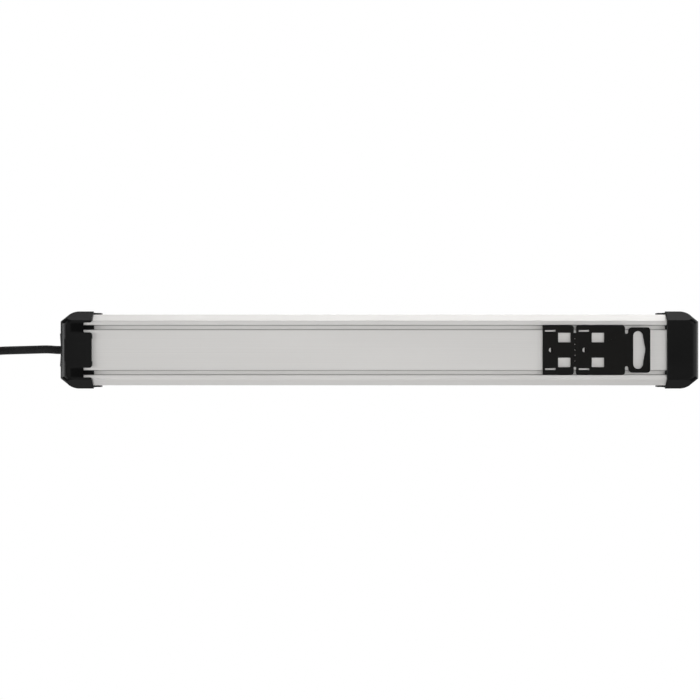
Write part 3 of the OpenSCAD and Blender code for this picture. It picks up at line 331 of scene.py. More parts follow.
@dataclass(frozen=True)
class MouldedPlastic:
    """Moulded plastic with the fine grain of its tool and slow changes of gloss."""

    name: str
    tone: Colour
    roughness: float = 0.42
    depth: float = 0.000018
    shine: float = 0.1
    grain_size: float = 0.00032
    grain_detail: float = 3.0
    grain_rough: float = 0.6
    pit_share: float = 0.3
    pit_spread: float = 0.6
    clouds: Grain = Grain((26.0, 40.0, 40.0), 3.0)
    cloud_share: float = 0.4
    tone_span: Span = (0.3, 0.8)
    worn_gain: float = 1.5
    worn_lift: float = 0.001
    cloud_gloss: float = 0.12
    grain_gloss: float = 0.10
    grain_strength: float = 0.6
    matt: MattPatchWithPaintedShade | None = None

    def material(self) -> bpy.types.Material:
        """Make an eroded grain in height and colour, a cloud in the gloss and any matt patches, whose
        darker colour is painted shade.
        """
        made, shader = new_material(self.name, self.tone)
        grain = shader.noise(even_grain(self.grain_size, self.grain_detail, self.grain_rough))
        pits = shader.cells(self.pit_spread / self.grain_size)
        cloud = shader.noise(self.clouds)
        worn = tuple(min(1.0, part * self.worn_gain + self.worn_lift) for part in self.tone)
        wear = grain * (1 - self.cloud_share) + cloud * self.cloud_share
        colour = shader.blend(wear.rise(self.tone_span), self.tone, worn)
        gloss = (cloud - MID) * self.cloud_gloss + (grain - MID) * self.grain_gloss + self.roughness
        if self.matt:
            # The patch turns rough, and darker in colour: painted shade in the recess.
            matt_shade_patch = self.matt.share(shader)
            colour = shader.blend(matt_shade_patch, colour, self.matt.tone)
            gloss = matt_shade_patch * (1.0 - self.roughness) + gloss
        height = grain * (1 - self.pit_share) + pits * self.pit_share
        shader.surface(
            Base_Color=colour,
            Roughness=gloss,
            Normal=shader.bump(height, self.depth, self.grain_strength),
            Specular_IOR_Level=self.shine,
        )
        return made


@dataclass(frozen=True)
class GlossPlastic:
    """Polished moulded plastic under a clear skin, with faint wiping marks."""

    name: str
    tone: Colour
    roughness: float = 0.18
    coat: float = 0.5
    clear: float = 0.0
    coat_roughness: float = 0.06
    marks: Grain = Grain((90.0, 1400.0, 900.0), 3.0, 0.6)
    mark_span: Span = (0.45, 0.8)
    mark_gloss: float = 0.12
    mark_depth: float = 0.000006
    mark_strength: float = 0.08
    clouds: Grain = Grain((60.0, 60.0, 60.0))
    tone_span: Span = (0.3, 0.75)
    deep_share: float = 0.72

    def material(self) -> bpy.types.Material:
        """Make a smooth surface with hairline marks in its gloss."""
        made, shader = new_material(self.name, self.tone)
        marks = shader.noise(self.marks)
        deep = tuple(part * self.deep_share for part in self.tone)
        shader.surface(
            Base_Color=shader.blend(shader.noise(self.clouds).rise(self.tone_span), deep, self.tone),
            Roughness=marks.rise(self.mark_span) * self.mark_gloss + self.roughness,
            Normal=shader.bump(marks, self.mark_depth, self.mark_strength),
            Coat_Weight=self.coat,
            Coat_Roughness=self.coat_roughness,
            Transmission_Weight=self.clear,
        )
        return made


@dataclass(frozen=True)
class StampedMetal:
    """Sheet or turned metal with rolling marks and a little tarnish."""

    name: str
    tone: Colour
    tarnish: Colour
    roughness: float = 0.28
    marks: Grain = Grain((260.0, 4200.0, 4200.0), 2.0, 0.6)
    mark_gloss: float = 0.12
    mark_depth: float = 0.000008
    mark_strength: float = 0.4
    stains: Grain = Grain((170.0, 170.0, 170.0), 4.0, 0.6)
    stain_span: Span = (0.42, 0.78)
    stain_gloss: float = 0.10
    polish: float = 0.1

    def material(self) -> bpy.types.Material:
        """Make fine marks in the gloss and soft stains in the colour."""
        made, shader = new_material(self.name, self.tone)
        marks, stain = shader.noise(self.marks), shader.noise(self.stains)
        shader.surface(
            Base_Color=shader.blend(stain.rise(self.stain_span), self.tone, self.tarnish),
            Metallic=1.0,
            Roughness=marks * self.mark_gloss + stain * self.stain_gloss + (self.roughness - self.polish),
            Normal=shader.bump(marks, self.mark_depth, self.mark_strength),
        )
        return made


@dataclass(frozen=True)
class LeadSheath:
    """The lead's soft sheath: matt, with a fine skin and a slight bloom."""

    name: str
    tone: Colour
    bloom: Colour
    roughness: float = 0.6
    shine: float = 0.18
    skin: Grain = Grain((2100.0, 2100.0, 2100.0), 3.0, 0.6)
    skin_depth: float = 0.00002
    skin_strength: float = 0.5
    blooms: Grain = Grain((55.0, 90.0, 90.0), 3.0)
    bloom_span: Span = (0.35, 0.8)
    bloom_gloss: float = 0.14

    def material(self) -> bpy.types.Material:
        """Make a fine skin in height and a slow bloom in the colour."""
        made, shader = new_material(self.name, self.tone)
        bloom = shader.noise(self.blooms)
        shader.surface(
            Base_Color=shader.blend(bloom.rise(self.bloom_span), self.tone, self.bloom),
            Roughness=(bloom - MID) * self.bloom_gloss + self.roughness,
            Normal=shader.bump(shader.noise(self.skin), self.skin_depth, self.skin_strength),
            Specular_IOR_Level=self.shine,
        )
        return made


@dataclass(frozen=True)
class WovenStrap:
    """A woven strap with crossing threads and a soft nap."""

    name: str
    tone: Colour
    thread: Colour
    thread_scale: float = 47.5
    thread_waver: float = 0.6
    thread_shares: Point = (0.35, 0.35, 0.3)
    nap: Grain = Grain((3600.0, 3600.0, 3600.0))
    nap_tone: float = 0.3
    nap_height: float = 0.25
    tone_span: Span = (0.2, 0.9)
    roughness: float = 0.75
    nap_gloss: float = 0.15
    depth: float = 0.00012
    strength: float = 0.7
    sheen: float = 0.05

    def material(self) -> bpy.types.Material:
        """Make crossing sets of threads in height and colour."""
        made, shader = new_material(self.name, self.tone)
        inputs = {"Vector": shader.place(), "Scale": self.thread_scale, "Distortion": self.thread_waver}
        threads = [shader.bands(axis, inputs) * share for axis, share in zip("XYZ", self.thread_shares)]
        weave = threads[0] + threads[1] + threads[2]
        nap = shader.noise(self.nap)
        fuzz = weave * (1 - self.nap_tone) + nap * self.nap_tone
        height = weave * (1 - self.nap_height) + nap * self.nap_height
        shader.surface(
            Base_Color=shader.blend(fuzz.rise(self.tone_span), self.tone, self.thread),
            Roughness=nap * self.nap_gloss + self.roughness,
            Normal=shader.bump(height, self.depth, self.strength),
            Sheen_Weight=self.sheen,
        )
        return made


@dataclass(frozen=True)
class CoreInsulation:
    """A core's coloured insulation, plain or with a second stripe colour."""

    name: str
    tone: Colour
    stripe: Colour
    stripe_stretch: Point = (60.0, 260.0, 260.0)
    stripe_scale: float = 0.5
    stripe_span: Span = (0.45, 0.55)
    skin: Grain = Grain((900.0, 900.0, 900.0))
    skin_gloss: float = 0.12
    skin_depth: float = 0.00001
    skin_strength: float = 0.4
    roughness: float = 0.36

    def material(self) -> bpy.types.Material:
        """Make slanting bands of the two colours under a soft gloss."""
        made, shader = new_material(self.name, self.tone)
        inputs = {"Vector": shader.place(self.stripe_stretch), "Scale": self.stripe_scale}
        bands = shader.bands("DIAGONAL", inputs)
        skin = shader.noise(self.skin)
        shader.surface(
            Base_Color=shader.blend(bands.rise(self.stripe_span), self.tone, self.stripe),
            Roughness=skin * self.skin_gloss + self.roughness,
            Normal=shader.bump(skin, self.skin_depth, self.skin_strength),
        )
        return made


class Look(Enum):
    """The finishes of the strip, by the material slot that each stands for."""

    ANODISED_ALUMINIUM = DrawnAluminium("satin_aluminium", (0.803, 0.791, 0.773), (0.759, 0.747, 0.731))
    CAP_PLASTIC = MouldedPlastic(
        "cap_black",
        (0.0026, 0.0026, 0.0026),
        0.32,
        shine=0.14,
        # Rough, darker patches ahead of the windows: the darker colour is painted shade in the cap's
        # troughs.
        matt=MattPatchWithPaintedShade(from_x=-262.0, to_x=-236.0, middle_y=19.05, half_y=2.6, top_z=2.0),
    )
    COVER_PLASTIC = MouldedPlastic("cover_black", (0.013, 0.013, 0.0135), 0.46)
    SOCKET_PLASTIC = MouldedPlastic("socket_black", (0.011, 0.011, 0.0115), 0.36, depth=0.00001)
    CLIP_PLASTIC = MouldedPlastic("clip_black", (0.0052, 0.0050, 0.0044), 0.38)
    SHUTTER_PLASTIC = MouldedPlastic("shutter_grey", (0.055, 0.055, 0.057), 0.42, depth=0.00001)
    TRAY_PLASTIC = MouldedPlastic("tray_grey", (0.10, 0.10, 0.102), 0.5)
    SWITCH_PLASTIC = GlossPlastic("switch_black", (0.012, 0.012, 0.012), 0.22, 0.3)
    ROCKER_PLASTIC = GlossPlastic("rocker_red", (0.44, 0.008, 0.006), 0.2, 0.25)
    LAMP_GLASS = GlossPlastic("lamp_amber", (0.95, 0.50, 0.22), 0.08, 0.6, 0.7)
    CONTACT_BRASS = StampedMetal("contact_brass", (0.74, 0.54, 0.24), (0.52, 0.34, 0.14))
    PLATED_BRASS = StampedMetal("plated_nickel", (0.72, 0.70, 0.66), (0.60, 0.57, 0.51), 0.24)
    SCREW_STEEL = StampedMetal("screw_zinc", (0.56, 0.57, 0.59), (0.42, 0.43, 0.45), 0.34)
    CORD_PVC = LeadSheath("lead_black", (0.010, 0.010, 0.0105), (0.018, 0.018, 0.0185))
    GLAND_PLASTIC = MouldedPlastic("gland_black", (0.011, 0.011, 0.0115), 0.45)
    TIE_STRAP = WovenStrap("tie_black", (0.010, 0.010, 0.011), (0.030, 0.030, 0.032))
    PLUG_PLASTIC = MouldedPlastic("plug_black", (0.012, 0.012, 0.0125), 0.40)
    CORE_BROWN = CoreInsulation("core_brown", (0.13, 0.045, 0.018), (0.15, 0.055, 0.022))
    CORE_BLUE = CoreInsulation("core_blue", (0.015, 0.07, 0.36), (0.02, 0.08, 0.40))
    CORE_GREEN = CoreInsulation("core_green_yellow", (0.05, 0.28, 0.03), (0.72, 0.56, 0.03))


class Paint:
    """Makes each finish once and puts it on pieces."""

    def __init__(self) -> None:
        """Start with no material made."""
        self.made: dict[Look, bpy.types.Material] = {}

    def of(self, look: Look) -> bpy.types.Material:
        """Give a finish's material, made on its first use."""
        if look not in self.made:
            finish: Finish = look.value
            self.made[look] = finish.material()
        return self.made[look]

    def on(self, piece: bpy.types.Object, look: Look) -> bpy.types.Object:
        """Cover a piece with one finish."""
        piece.data.materials.clear()
        piece.data.materials.append(self.of(look))
        return piece


PAINT = Paint()


def look_of(node: str) -> Look:
    """Give the finish of a CAD node by its material slot."""
    return Look[SLOT_OF[node].upper()]


def link(name: str, data: bpy.types.Mesh | bpy.types.Curve) -> bpy.types.Object:
    """Put new data in the scene as an object at the origin."""
    made = bpy.data.objects.new(name, data)
    bpy.context.scene.collection.objects.link(made)
    return made


def made_mesh(name: str, form: bmesh.types.BMesh) -> bpy.types.Mesh:
    """Turn a form into a mesh, and free the form."""
    mesh = bpy.data.meshes.new(name)
    form.to_mesh(mesh)
    form.free()
    return mesh


def smooth(mesh: bpy.types.Mesh) -> None:
    """Shade every face of a mesh smoothly."""
    mesh.polygons.foreach_set("use_smooth", [True] * len(mesh.polygons))


def plain_mesh(piece: bpy.types.Object) -> bpy.types.Mesh:
    """Give a piece's mesh with its modifiers worked in, and remove them."""
    graph = bpy.context.evaluated_depsgraph_get()
    mesh = bpy.data.meshes.new_from_object(piece.evaluated_get(graph))
    piece.modifiers.clear()
    return mesh


@dataclass(frozen=True)
class FlatShading:
    """Normals that keep the large flats flat and let the roundings between them turn.

    Attributes:
        level: Faces that turn by less than this, in degrees, are one flat.
        favour: How strongly a larger flat leads, as a power of its area.
        large: The area in square millimetres from which a face is large.
        turn: The turn in degrees from which a large face isn't led by another one.
    """

    level: float = 0.3
    favour: float = 3.0
    large: float = 30.0
    turn: float = 30.0

    def regions(self, form: bmesh.types.BMesh) -> dict[bmesh.types.BMFace, tuple[int, float]]:
        """Sort the faces into flat regions.

        Args:
            form: The shape.

        Returns:
            Each face's region, as its number and its area in square millimetres.
        """
        found: dict[bmesh.types.BMFace, tuple[int, float]] = {}
        limit = math.radians(self.level)
        for number, start in enumerate(form.faces):
            region = [] if start in found else [start]
            for face in region:
                found[face] = (number, 0.0)
                beside = (other for edge in face.edges for other in edge.link_faces)
                level = [other for other in beside if face.normal.angle(other.normal, math.pi) < limit]
                region.extend(other for other in set(level) if other not in found and other not in region)
            area = sum(face.calc_area() for face in region) / MM**2
            found.update({face: (number, area) for face in region})
        return found

    def fan(self, loop: bmesh.types.BMLoop) -> list[bmesh.types.BMFace]:
        """Give the faces around a face's corner that no sharp edge parts from it."""
        faces = [loop.face]
        for face in faces:
            for edge in face.edges:
                if edge.smooth and loop.vert in edge.verts:
                    faces.extend(other for other in edge.link_faces if other not in faces)
        return faces

    def normals(self, form: bmesh.types.BMesh) -> list[Vector]:
        """Give a normal for each corner of each face, led by the largest flat that meets there.

        Args:
            form: The shape, with its sharp edges marked.

        Returns:
            The normals in the order of the faces' corners.
        """
        regions = self.regions(form)
        turn = math.radians(self.turn)
        normals = []
        for face in form.faces:
            widest = turn if regions[face][1] > self.large else math.pi
            for loop in face.loops:
                flats = {regions[near]: near.normal for near in self.fan(loop)}
                total = Vector()
                for (_, area), normal in flats.items():
                    if face.normal.angle(normal, 0.0) < widest:
                        total += normal * area**self.favour
                normals.append(total.normalized())
        return normals


@dataclass(frozen=True)
class Softening:
    """How a moulding's or extrusion's sharp edges are rounded.

    Attributes:
        width: The rounding's width in metres.
        segments: The faces across a rounding.
        angle: Edges that turn by more than this, in degrees, are rounded.
        crease: Edges that turn by more than this, in degrees, and aren't rounded stay sharp.
        flat: Faces that turn by less than this, in degrees, are merged first.
        spare: How many times a rounding's width its neighbours have to leave.
        straight: The cosine from which two edges in a row count as one line.
        rounds: How often the choice of edges is narrowed.
        shading: The normals of the result.
    """

    width: float
    segments: int = 2
    angle: float = 32.0
    crease: float = 17.0
    flat: float = 0.3
    spare: float = 2.1
    straight: float = 0.9
    rounds: int = 6
    shading: FlatShading = FlatShading()

    def room(self, edge: bmesh.types.BMEdge, chosen: set[bmesh.types.BMEdge]) -> float:
        """Give the widest rounding that an edge's neighbours leave room for.

        Args:
            edge: The edge that is to be rounded.
            chosen: All edges that are to be rounded.

        Returns:
            The width in metres.
        """
        along = (edge.verts[1].co - edge.verts[0].co).normalized()
        widths = []
        for corner in edge.verts:
            for other in corner.link_edges:
                away = (other.other_vert(corner).co - corner.co).normalized()
                goes_on = other in chosen and abs(along.dot(away)) > self.straight
                if other is not edge and not goes_on:
                    widths.append(other.calc_length())
        for face in edge.link_faces:
            for corner in face.verts:
                reach = corner.co - edge.verts[0].co
                off = (reach - along * reach.dot(along)).length
                if off > WELD:
                    widths.append(off)
        return min(widths, default=0.0) / self.spare

    def edges(self, form: bmesh.types.BMesh) -> list[bmesh.types.BMEdge]:
        """Choose the edges to round, and mark the sharp ones that are left.

        Args:
            form: The shape.

        Returns:
            The edges that turn enough and have room.
        """
        limit, crease = math.radians(self.angle), math.radians(self.crease)
        angles = {edge: edge.calc_face_angle() for edge in form.edges if edge.is_manifold}
        chosen = {edge for edge, angle in angles.items() if angle > limit}
        for _ in range(self.rounds):
            chosen -= {edge for edge in chosen if self.room(edge, chosen) < self.width}
        for edge, angle in angles.items():
            edge.smooth = edge in chosen or angle < crease
        return [edge for edge in form.edges if edge in chosen]

    def copy_of(self, node: str) -> bpy.types.Object:
        """Make a copy of a CAD node with softened edges.

        Args:
            node: The CAD node's name.

        Returns:
            A piece that replaces the node and rides on its body.
        """
        form = bmesh.new()
        form.from_mesh(NODES[node].data)
        bmesh.ops.remove_doubles(form, verts=form.verts, dist=WELD)
        level = math.radians(self.flat)
        bmesh.ops.dissolve_limit(form, angle_limit=level, verts=form.verts, edges=form.edges)
        bmesh.ops.connect_verts_concave(form, faces=form.faces)
        edges = self.edges(form)
        bmesh.ops.bevel(
            form,
            geom=edges,
            offset=self.width,
            offset_type="OFFSET",
            segments=self.segments,
            profile=MID,
            affect="EDGES",
            clamp_overlap=True,
            miter_outer="ARC",
        )
        bmesh.ops.dissolve_degenerate(form, dist=WELD, edges=form.edges)
        normals = self.shading.normals(form)
        piece = link(f"{node}_soft", made_mesh(f"{node}_form", form))
        smooth(piece.data)
        piece.data.normals_split_custom_set(normals)
        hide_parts(node)
        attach(piece, NODES[node]["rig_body"])
        PAINT.on(piece, look_of(node))
        LOG.info("softened %s: %d edges, %d faces", node, len(edges), len(piece.data.polygons))
        return piece


def finished(node: str) -> bpy.types.Object:
    """Put a CAD node's finish on the node itself."""
    LOG.info("finished %s", node)
    return PAINT.on(NODES[node], look_of(node))


@dataclass(frozen=True)
class BackCamera:
    """The camera, square to the strip's back: its place and lens in millimetres, its reach in metres."""

    place: Point = (-24.9, 0.0, -1319.0)
    lens: float = 80.46
    sensor: float = 36.0
    far: float = 20.0

    def build(self) -> None:
        """Make the camera below the strip, looking up, with the lead at the left."""
        data = bpy.data.cameras.new("back_camera")
        data.lens = self.lens
        data.sensor_width = self.sensor
        data.clip_end = self.far
        camera = bpy.data.objects.new("back_camera", data)
        camera.location = metres(self.place)
        camera.rotation_euler = (math.pi, 0.0, 0.0)
        bpy.context.scene.collection.objects.link(camera)
        bpy.context.scene.camera = camera


def eased(share: float) -> float:
    """Ease a share in and out, from 0 to 1."""
    share = min(1.0, max(0.0, share))
    return share * share * (3 - 2 * share)


@dataclass(frozen=True)
class MainsLead:
    """The lead with its coil, ties and plug, in millimetres and degrees."""

    diameter: float = 7.0
    exit: Point = (-270.0, 0.0, 22.5)
    first: tuple[Point, ...] = (
        (0.0, 0.0, 22.5), (-5.0, 0.0, 22.5), (-14.0, -0.5, 22.5), (-24.0, -0.3, 22.0), (-34.0, 0.0, 20.3),
        (-44.0, 0.3, 17.6), (-54.0, 0.8, 14.2), (-63.0, 2.2, 11.0), (-71.0, 4.8, 8.4), (-79.0, 8.6, 6.4),
    )
    last: tuple[Point, ...] = (
        (-78.5, -58.3, 13.2), (-72.6, -50.2, 15.0), (-69.5, -40.7, 17.6), (-69.5, -30.7, 20.8),
        (-72.6, -21.2, 24.2), (-78.5, -13.1, 27.6), (-86.6, -7.2, 30.6), (-96.1, -4.1, 32.9),
        (-104.2, -3.3, 34.15), (-111.0, -3.3, 34.15),
    )
    coil_middle: tuple[float, float] = (-387.0, -25.0)
    coil_radius: float = 27.3
    coil_turns: float = 5.6667
    coil_pitch: float = 7.35
    coil_start: float = 60.0
    coil_low: float = 5.0
    coil_rings: int = 24
    climb_turns: float = 0.5
    knot_steps: int = 4
    round_steps: int = 6
    tie_edge: Softening = Softening(0.4 * MM)
    boot_edge: Softening = Softening(0.3 * MM)
    plug_edge: Softening = Softening(0.25 * MM)

    def coil_point(self, turn: float) -> Vector:
        """Give a point on the coil's middle line, so many turns from its start."""
        half = self.coil_turns / 2
        radius = self.coil_radius + abs(turn - half) * self.coil_pitch
        angle = math.radians(self.coil_start) + math.tau * turn
        lift = eased((turn - half) / self.climb_turns + MID) * self.coil_pitch
        x, y = self.coil_middle
        return Vector((x + radius * math.cos(angle), y + radius * math.sin(angle), self.coil_low + lift))

    def route(self) -> list[Vector]:
        """Give the lead's middle line in millimetres, from the cord cap to the plug."""
        steps = round(self.coil_rings * self.coil_turns)
        coil = [self.coil_point(k * self.coil_turns / steps) for k in range(steps + 1)]
        away = Vector((self.exit[0], 0.0, 0.0))
        into = coil[0] - (coil[1] - coil[0]).normalized() * self.diameter
        out = coil[-1] + (coil[-1] - coil[-2]).normalized() * self.diameter
        lead = [away + Vector(point) for point in self.first]
        tail = [away + Vector(point) for point in self.last]
        return [*lead, into, *coil, out, *tail]

    def build(self) -> None:
        """Make the lead as one curve, and soften its ties and its plug."""
        line = self.route()
        data = bpy.data.curves.new("mains_lead", "CURVE")
        data.dimensions = "3D"
        data.resolution_u = self.knot_steps
        data.bevel_depth = self.diameter / 2 * MM
        data.bevel_resolution = self.round_steps
        data.use_fill_caps = True
        spline = data.splines.new("BEZIER")
        spline.bezier_points.add(len(line) - 1)
        for knot, point in zip(spline.bezier_points, line):
            knot.co = point * MM
            knot.handle_left_type = knot.handle_right_type = "AUTO"
        lead = link("mains_lead", data)
        PAINT.on(lead, Look.CORD_PVC)
        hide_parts("cord_lead", "cord_coil", "cord_tail")
        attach(lead, "strip")
        length = sum((b - a).length for a, b in zip(line, line[1:])) * MM
        LOG.info("lead: %.3f m", length)
        ties = self.tie_edge.copy_of("coil_ties")
        boot = self.boot_edge.copy_of("plug_boot")
        body = self.plug_edge.copy_of("plug_body")
        pins, earth = finished("plug_pins"), self.plug_edge.copy_of("plug_earth")
        ribs = PlugRibs().build()


class NodeSketch:
    """A Geometry Nodes tree that is written in code and turned into a plain mesh."""

    def __init__(self, name: str) -> None:
        """Start a tree with one geometry output."""
        self.tree = bpy.data.node_groups.new(name, "GeometryNodeTree")
        self.tree.interface.new_socket("Geometry", in_out="OUTPUT", socket_type="NodeSocketGeometry")
        self.sizes: dict[str, Any] = {}
        self.entry = self.tree.nodes.new("NodeGroupInput")

    def size(self, name: str, kind: str, value: Any) -> bpy.types.NodeSocket:
        """Add a named input with its value, and give its socket inside the tree."""
        socket = self.tree.interface.new_socket(name, in_out="INPUT", socket_type=f"NodeSocket{kind}")
        self.sizes[socket.identifier] = value
        return self.entry.outputs[name]

    def node(self, kind: str, settings: dict[str, Any] | None = None, **inputs: Any) -> bpy.types.Node:
        """Add a node.

        Args:
            kind: The node's type.
            settings: Its settings.
            **inputs: Values or sockets for its inputs, spaces in their names written as underscores.

        Returns:
            The node.
        """
        made = self.tree.nodes.new(kind)
        for name, value in (settings or {}).items():
            setattr(made, name, value)
        for name, value in inputs.items():
            socket = made.inputs[name.replace("_", " ")]
            if isinstance(value, bpy.types.NodeSocket):
                self.tree.links.new(value, socket)
            else:
                socket.default_value = value
        return made

    def mesh(self, name: str, geometry: bpy.types.NodeSocket, look: Look) -> bpy.types.Object:
        """End the tree in a finish and make its result a piece with a plain mesh.

        Args:
            name: The piece's name.
            geometry: The socket that gives its shape.
            look: Its finish.

        Returns:
            The piece, at the origin.
        """
        realized = self.node("GeometryNodeRealizeInstances", Geometry=geometry)
        finish = PAINT.of(look)
        covered = self.node("GeometryNodeSetMaterial", Geometry=realized.outputs[0], Material=finish)
        end = self.tree.nodes.new("NodeGroupOutput")
        self.tree.links.new(covered.outputs[0], end.inputs[0])
        piece = link(name, bpy.data.meshes.new(f"{name}_seed"))
        modifier = piece.modifiers.new("sketch", "NODES")
        modifier.node_group = self.tree
        for identifier, value in self.sizes.items():
            modifier[identifier] = value
        piece.data = plain_mesh(piece)
        smooth(piece.data)
        LOG.info("%s: %d faces", name, len(piece.data.polygons))
        return piece


@dataclass(frozen=True)
class PlugRibs:
    """Grip ribs around the plug's tapered back, in millimetres."""

    axis: tuple[float, float] = (-3.3, 34.15)
    start_x: float = -404.2
    step_x: float = -3.2
    count: int = 5
    start_radius: float = 11.75
    grow: float = 1.333
    rib_radius: float = 0.7
    ring_steps: int = 64
    rib_steps: int = 10

    def build(self) -> bpy.types.Object:
        """Make rings along the taper, each as wide as the plug is there."""
        sketch = NodeSketch("plug_ribs")
        count = sketch.size("Count", "Int", self.count)
        start = sketch.size("Start", "Vector", metres((self.start_x, *self.axis)))
        step = sketch.size("Step", "Vector", metres((self.step_x, 0.0, 0.0)))
        radius = sketch.size("Radius", "Float", self.start_radius * MM)
        grow = sketch.size("Grow", "Float", self.grow * MM)
        thick = sketch.size("Thickness", "Float", self.rib_radius * MM)
        line = sketch.node("GeometryNodeMeshLine", Count=count, Start_Location=start, Offset=step)
        index = sketch.node("GeometryNodeInputIndex")
        grown = sketch.node("ShaderNodeMath", {"operation": "MULTIPLY_ADD"})
        for slot, socket in enumerate((index.outputs[0], grow, radius)):
            sketch.tree.links.new(socket, grown.inputs[slot])
        ring = sketch.node("GeometryNodeCurvePrimitiveCircle", Resolution=self.ring_steps, Radius=1.0)
        rings = sketch.node(
            "GeometryNodeInstanceOnPoints",
            Points=line.outputs[0],
            Instance=ring.outputs[0],
            Rotation=(0.0, math.pi / 2, 0.0),
            Scale=grown.outputs[0],
        )
        loose = sketch.node("GeometryNodeRealizeInstances", Geometry=rings.outputs[0])
        profile = sketch.node("GeometryNodeCurvePrimitiveCircle", Resolution=self.rib_steps, Radius=thick)
        round_line = {"Curve": loose.outputs[0], "Profile_Curve": profile.outputs[0]}
        tubes = sketch.node("GeometryNodeCurveToMesh", **round_line)
        ribs = sketch.mesh("plug_ribs", tubes.outputs[0], Look.PLUG_PLASTIC)
        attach(ribs, "strip")
        return ribs


@dataclass(frozen=True)
class ShutterSprings:
    """The wound return springs under the shutters, in millimetres."""

    first_x: float = -138.0
    pitch: float = 66.0
    count: int = 6
    low: float = 20.95
    height: float = 1.05
    radius: float = 2.3
    wire: float = 0.16
    turns: float = 3.0
    turn_steps: int = 28
    wire_steps: int = 8

    def build(self) -> None:
        """Make one wound wire and repeat it under every shutter."""
        sketch = NodeSketch("shutter_springs")
        count = sketch.size("Count", "Int", self.count)
        start = sketch.size("Start", "Vector", metres((self.first_x, 0.0, self.low)))
        step = sketch.size("Step", "Vector", metres((self.pitch, 0.0, 0.0)))
        radius = sketch.size("Radius", "Float", self.radius * MM)
        height = sketch.size("Height", "Float", self.height * MM)
        wire = sketch.size("Wire", "Float", self.wire * MM)
        turns = sketch.size("Turns", "Float", self.turns)
        line = sketch.node("GeometryNodeMeshLine", Count=count, Start_Location=start, Offset=step)
        winding = sketch.node(
            "GeometryNodeCurveSpiral",
            Resolution=self.turn_steps,
            Rotations=turns,
            Start_Radius=radius,
            End_Radius=radius,
            Height=height,
        )
        profile = sketch.node("GeometryNodeCurvePrimitiveCircle", Resolution=self.wire_steps, Radius=wire)
        spring = sketch.node(
            "GeometryNodeCurveToMesh",
            Curve=winding.outputs[0],
            Profile_Curve=profile.outputs[0],
            Fill_Caps=True,
        )
        places, wound = line.outputs[0], spring.outputs[0]
        row = sketch.node("GeometryNodeInstanceOnPoints", Points=places, Instance=wound)
        springs = sketch.mesh("wound_springs", row.outputs[0], Look.SCREW_STEEL)
        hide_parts("shutter_springs")
        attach(springs, "strip")


@dataclass(frozen=True)
class Body:
    """The aluminium profile and its two end caps."""

    profile_edge: Softening = Softening(0.28 * MM)
    cap_edge: Softening = Softening(0.5 * MM, 3)
    gland_edge: Softening = Softening(0.25 * MM)
    screw_edge: Softening = Softening(0.2 * MM)

    def build(self) -> None:
        """Soften the extrusion, the caps, the gland and the screws."""
        self.profile_edge.copy_of("profile")
        for cap in ("cord_cap", "blank_cap"):
            self.cap_edge.copy_of(cap)
        self.gland_edge.copy_of("cord_gland")
        for screws in ("cord_cap_screws", "blank_cap_screws", "clamp_screws", "earth_screw"):
            self.screw_edge.copy_of(screws)


@dataclass(frozen=True)
class Front:
    """The cover with its sockets, shutters and switch."""

    sockets: int = 6
    edge: Softening = Softening(0.3 * MM)
    switch_edge: Softening = Softening(0.4 * MM, 3)

    def build(self) -> None:
        """Soften what shows in the front, and wind the springs."""
        self.edge.copy_of("front_cover")
        for number in range(1, self.sockets + 1):
            self.edge.copy_of(f"socket_{number}")
            finished(f"shutter_{number}")
        for piece in ("switch_housing", "switch_rocker"):
            self.switch_edge.copy_of(piece)
        finished("switch_lamp")
        ShutterSprings().build()


@dataclass(frozen=True)
class Wiring:
    """What lies inside the strip: contact bars, tray, cores and cord grip."""

    nodes: tuple[str, ...] = (
        "base_tray", "live_bar", "neutral_bar", "earth_bar", "switch_terminals", "cord_sheath",
        "cord_clamp", "wire_live", "wire_neutral", "wire_earth", "earth_tag",
    )

    def build(self) -> None:
        """Finish the inner nodes as they are."""
        for node in self.nodes:
            finished(node)


@dataclass(frozen=True)
class ClipCard:
    """The card of break-off clips and its hang tab, in millimetres."""

    edge: Softening = Softening(0.3 * MM)
    holes: tuple[tuple[float, float], ...] = ((144.8, 0.0), (173.15, 0.0))
    # A dark half disc in each screw hole: painted shade, standing in for the shadow over half of the
    # hole.
    web_radius: float = 2.05
    web_low: float = 2.05
    web_top: float = 2.5
    web_steps: int = 14

    def build(self) -> None:
        """Soften the card, and add a dark half disc deep in each screw hole: painted shade over half of
        the hole.
        """
        self.edge.copy_of("clip_card")
        form = bmesh.new()
        for x, y in self.holes:
            rim = []
            for step in range(self.web_steps + 1):
                angle = math.pi * step / self.web_steps - math.pi / 2
                across, along = self.web_radius * math.cos(angle), self.web_radius * math.sin(angle)
                rim.append(form.verts.new(metres((x + across, y + along, self.web_low))))
            grown = bmesh.ops.extrude_face_region(form, geom=[form.faces.new(rim)])
            moved = [item for item in grown["geom"] if isinstance(item, bmesh.types.BMVert)]
            bmesh.ops.translate(form, verts=moved, vec=(0.0, 0.0, (self.web_top - self.web_low) * MM))
        bmesh.ops.recalc_face_normals(form, faces=form.faces)
        # The half discs are painted shade, in the clip's black.
        shade_discs = PAINT.on(link("hole_shade_discs", made_mesh("hole_shade_discs", form)), Look.CLIP_PLASTIC)
        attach(shade_discs, "clip")
        LOG.info("hole webs: %d faces", len(shade_discs.data.polygons))


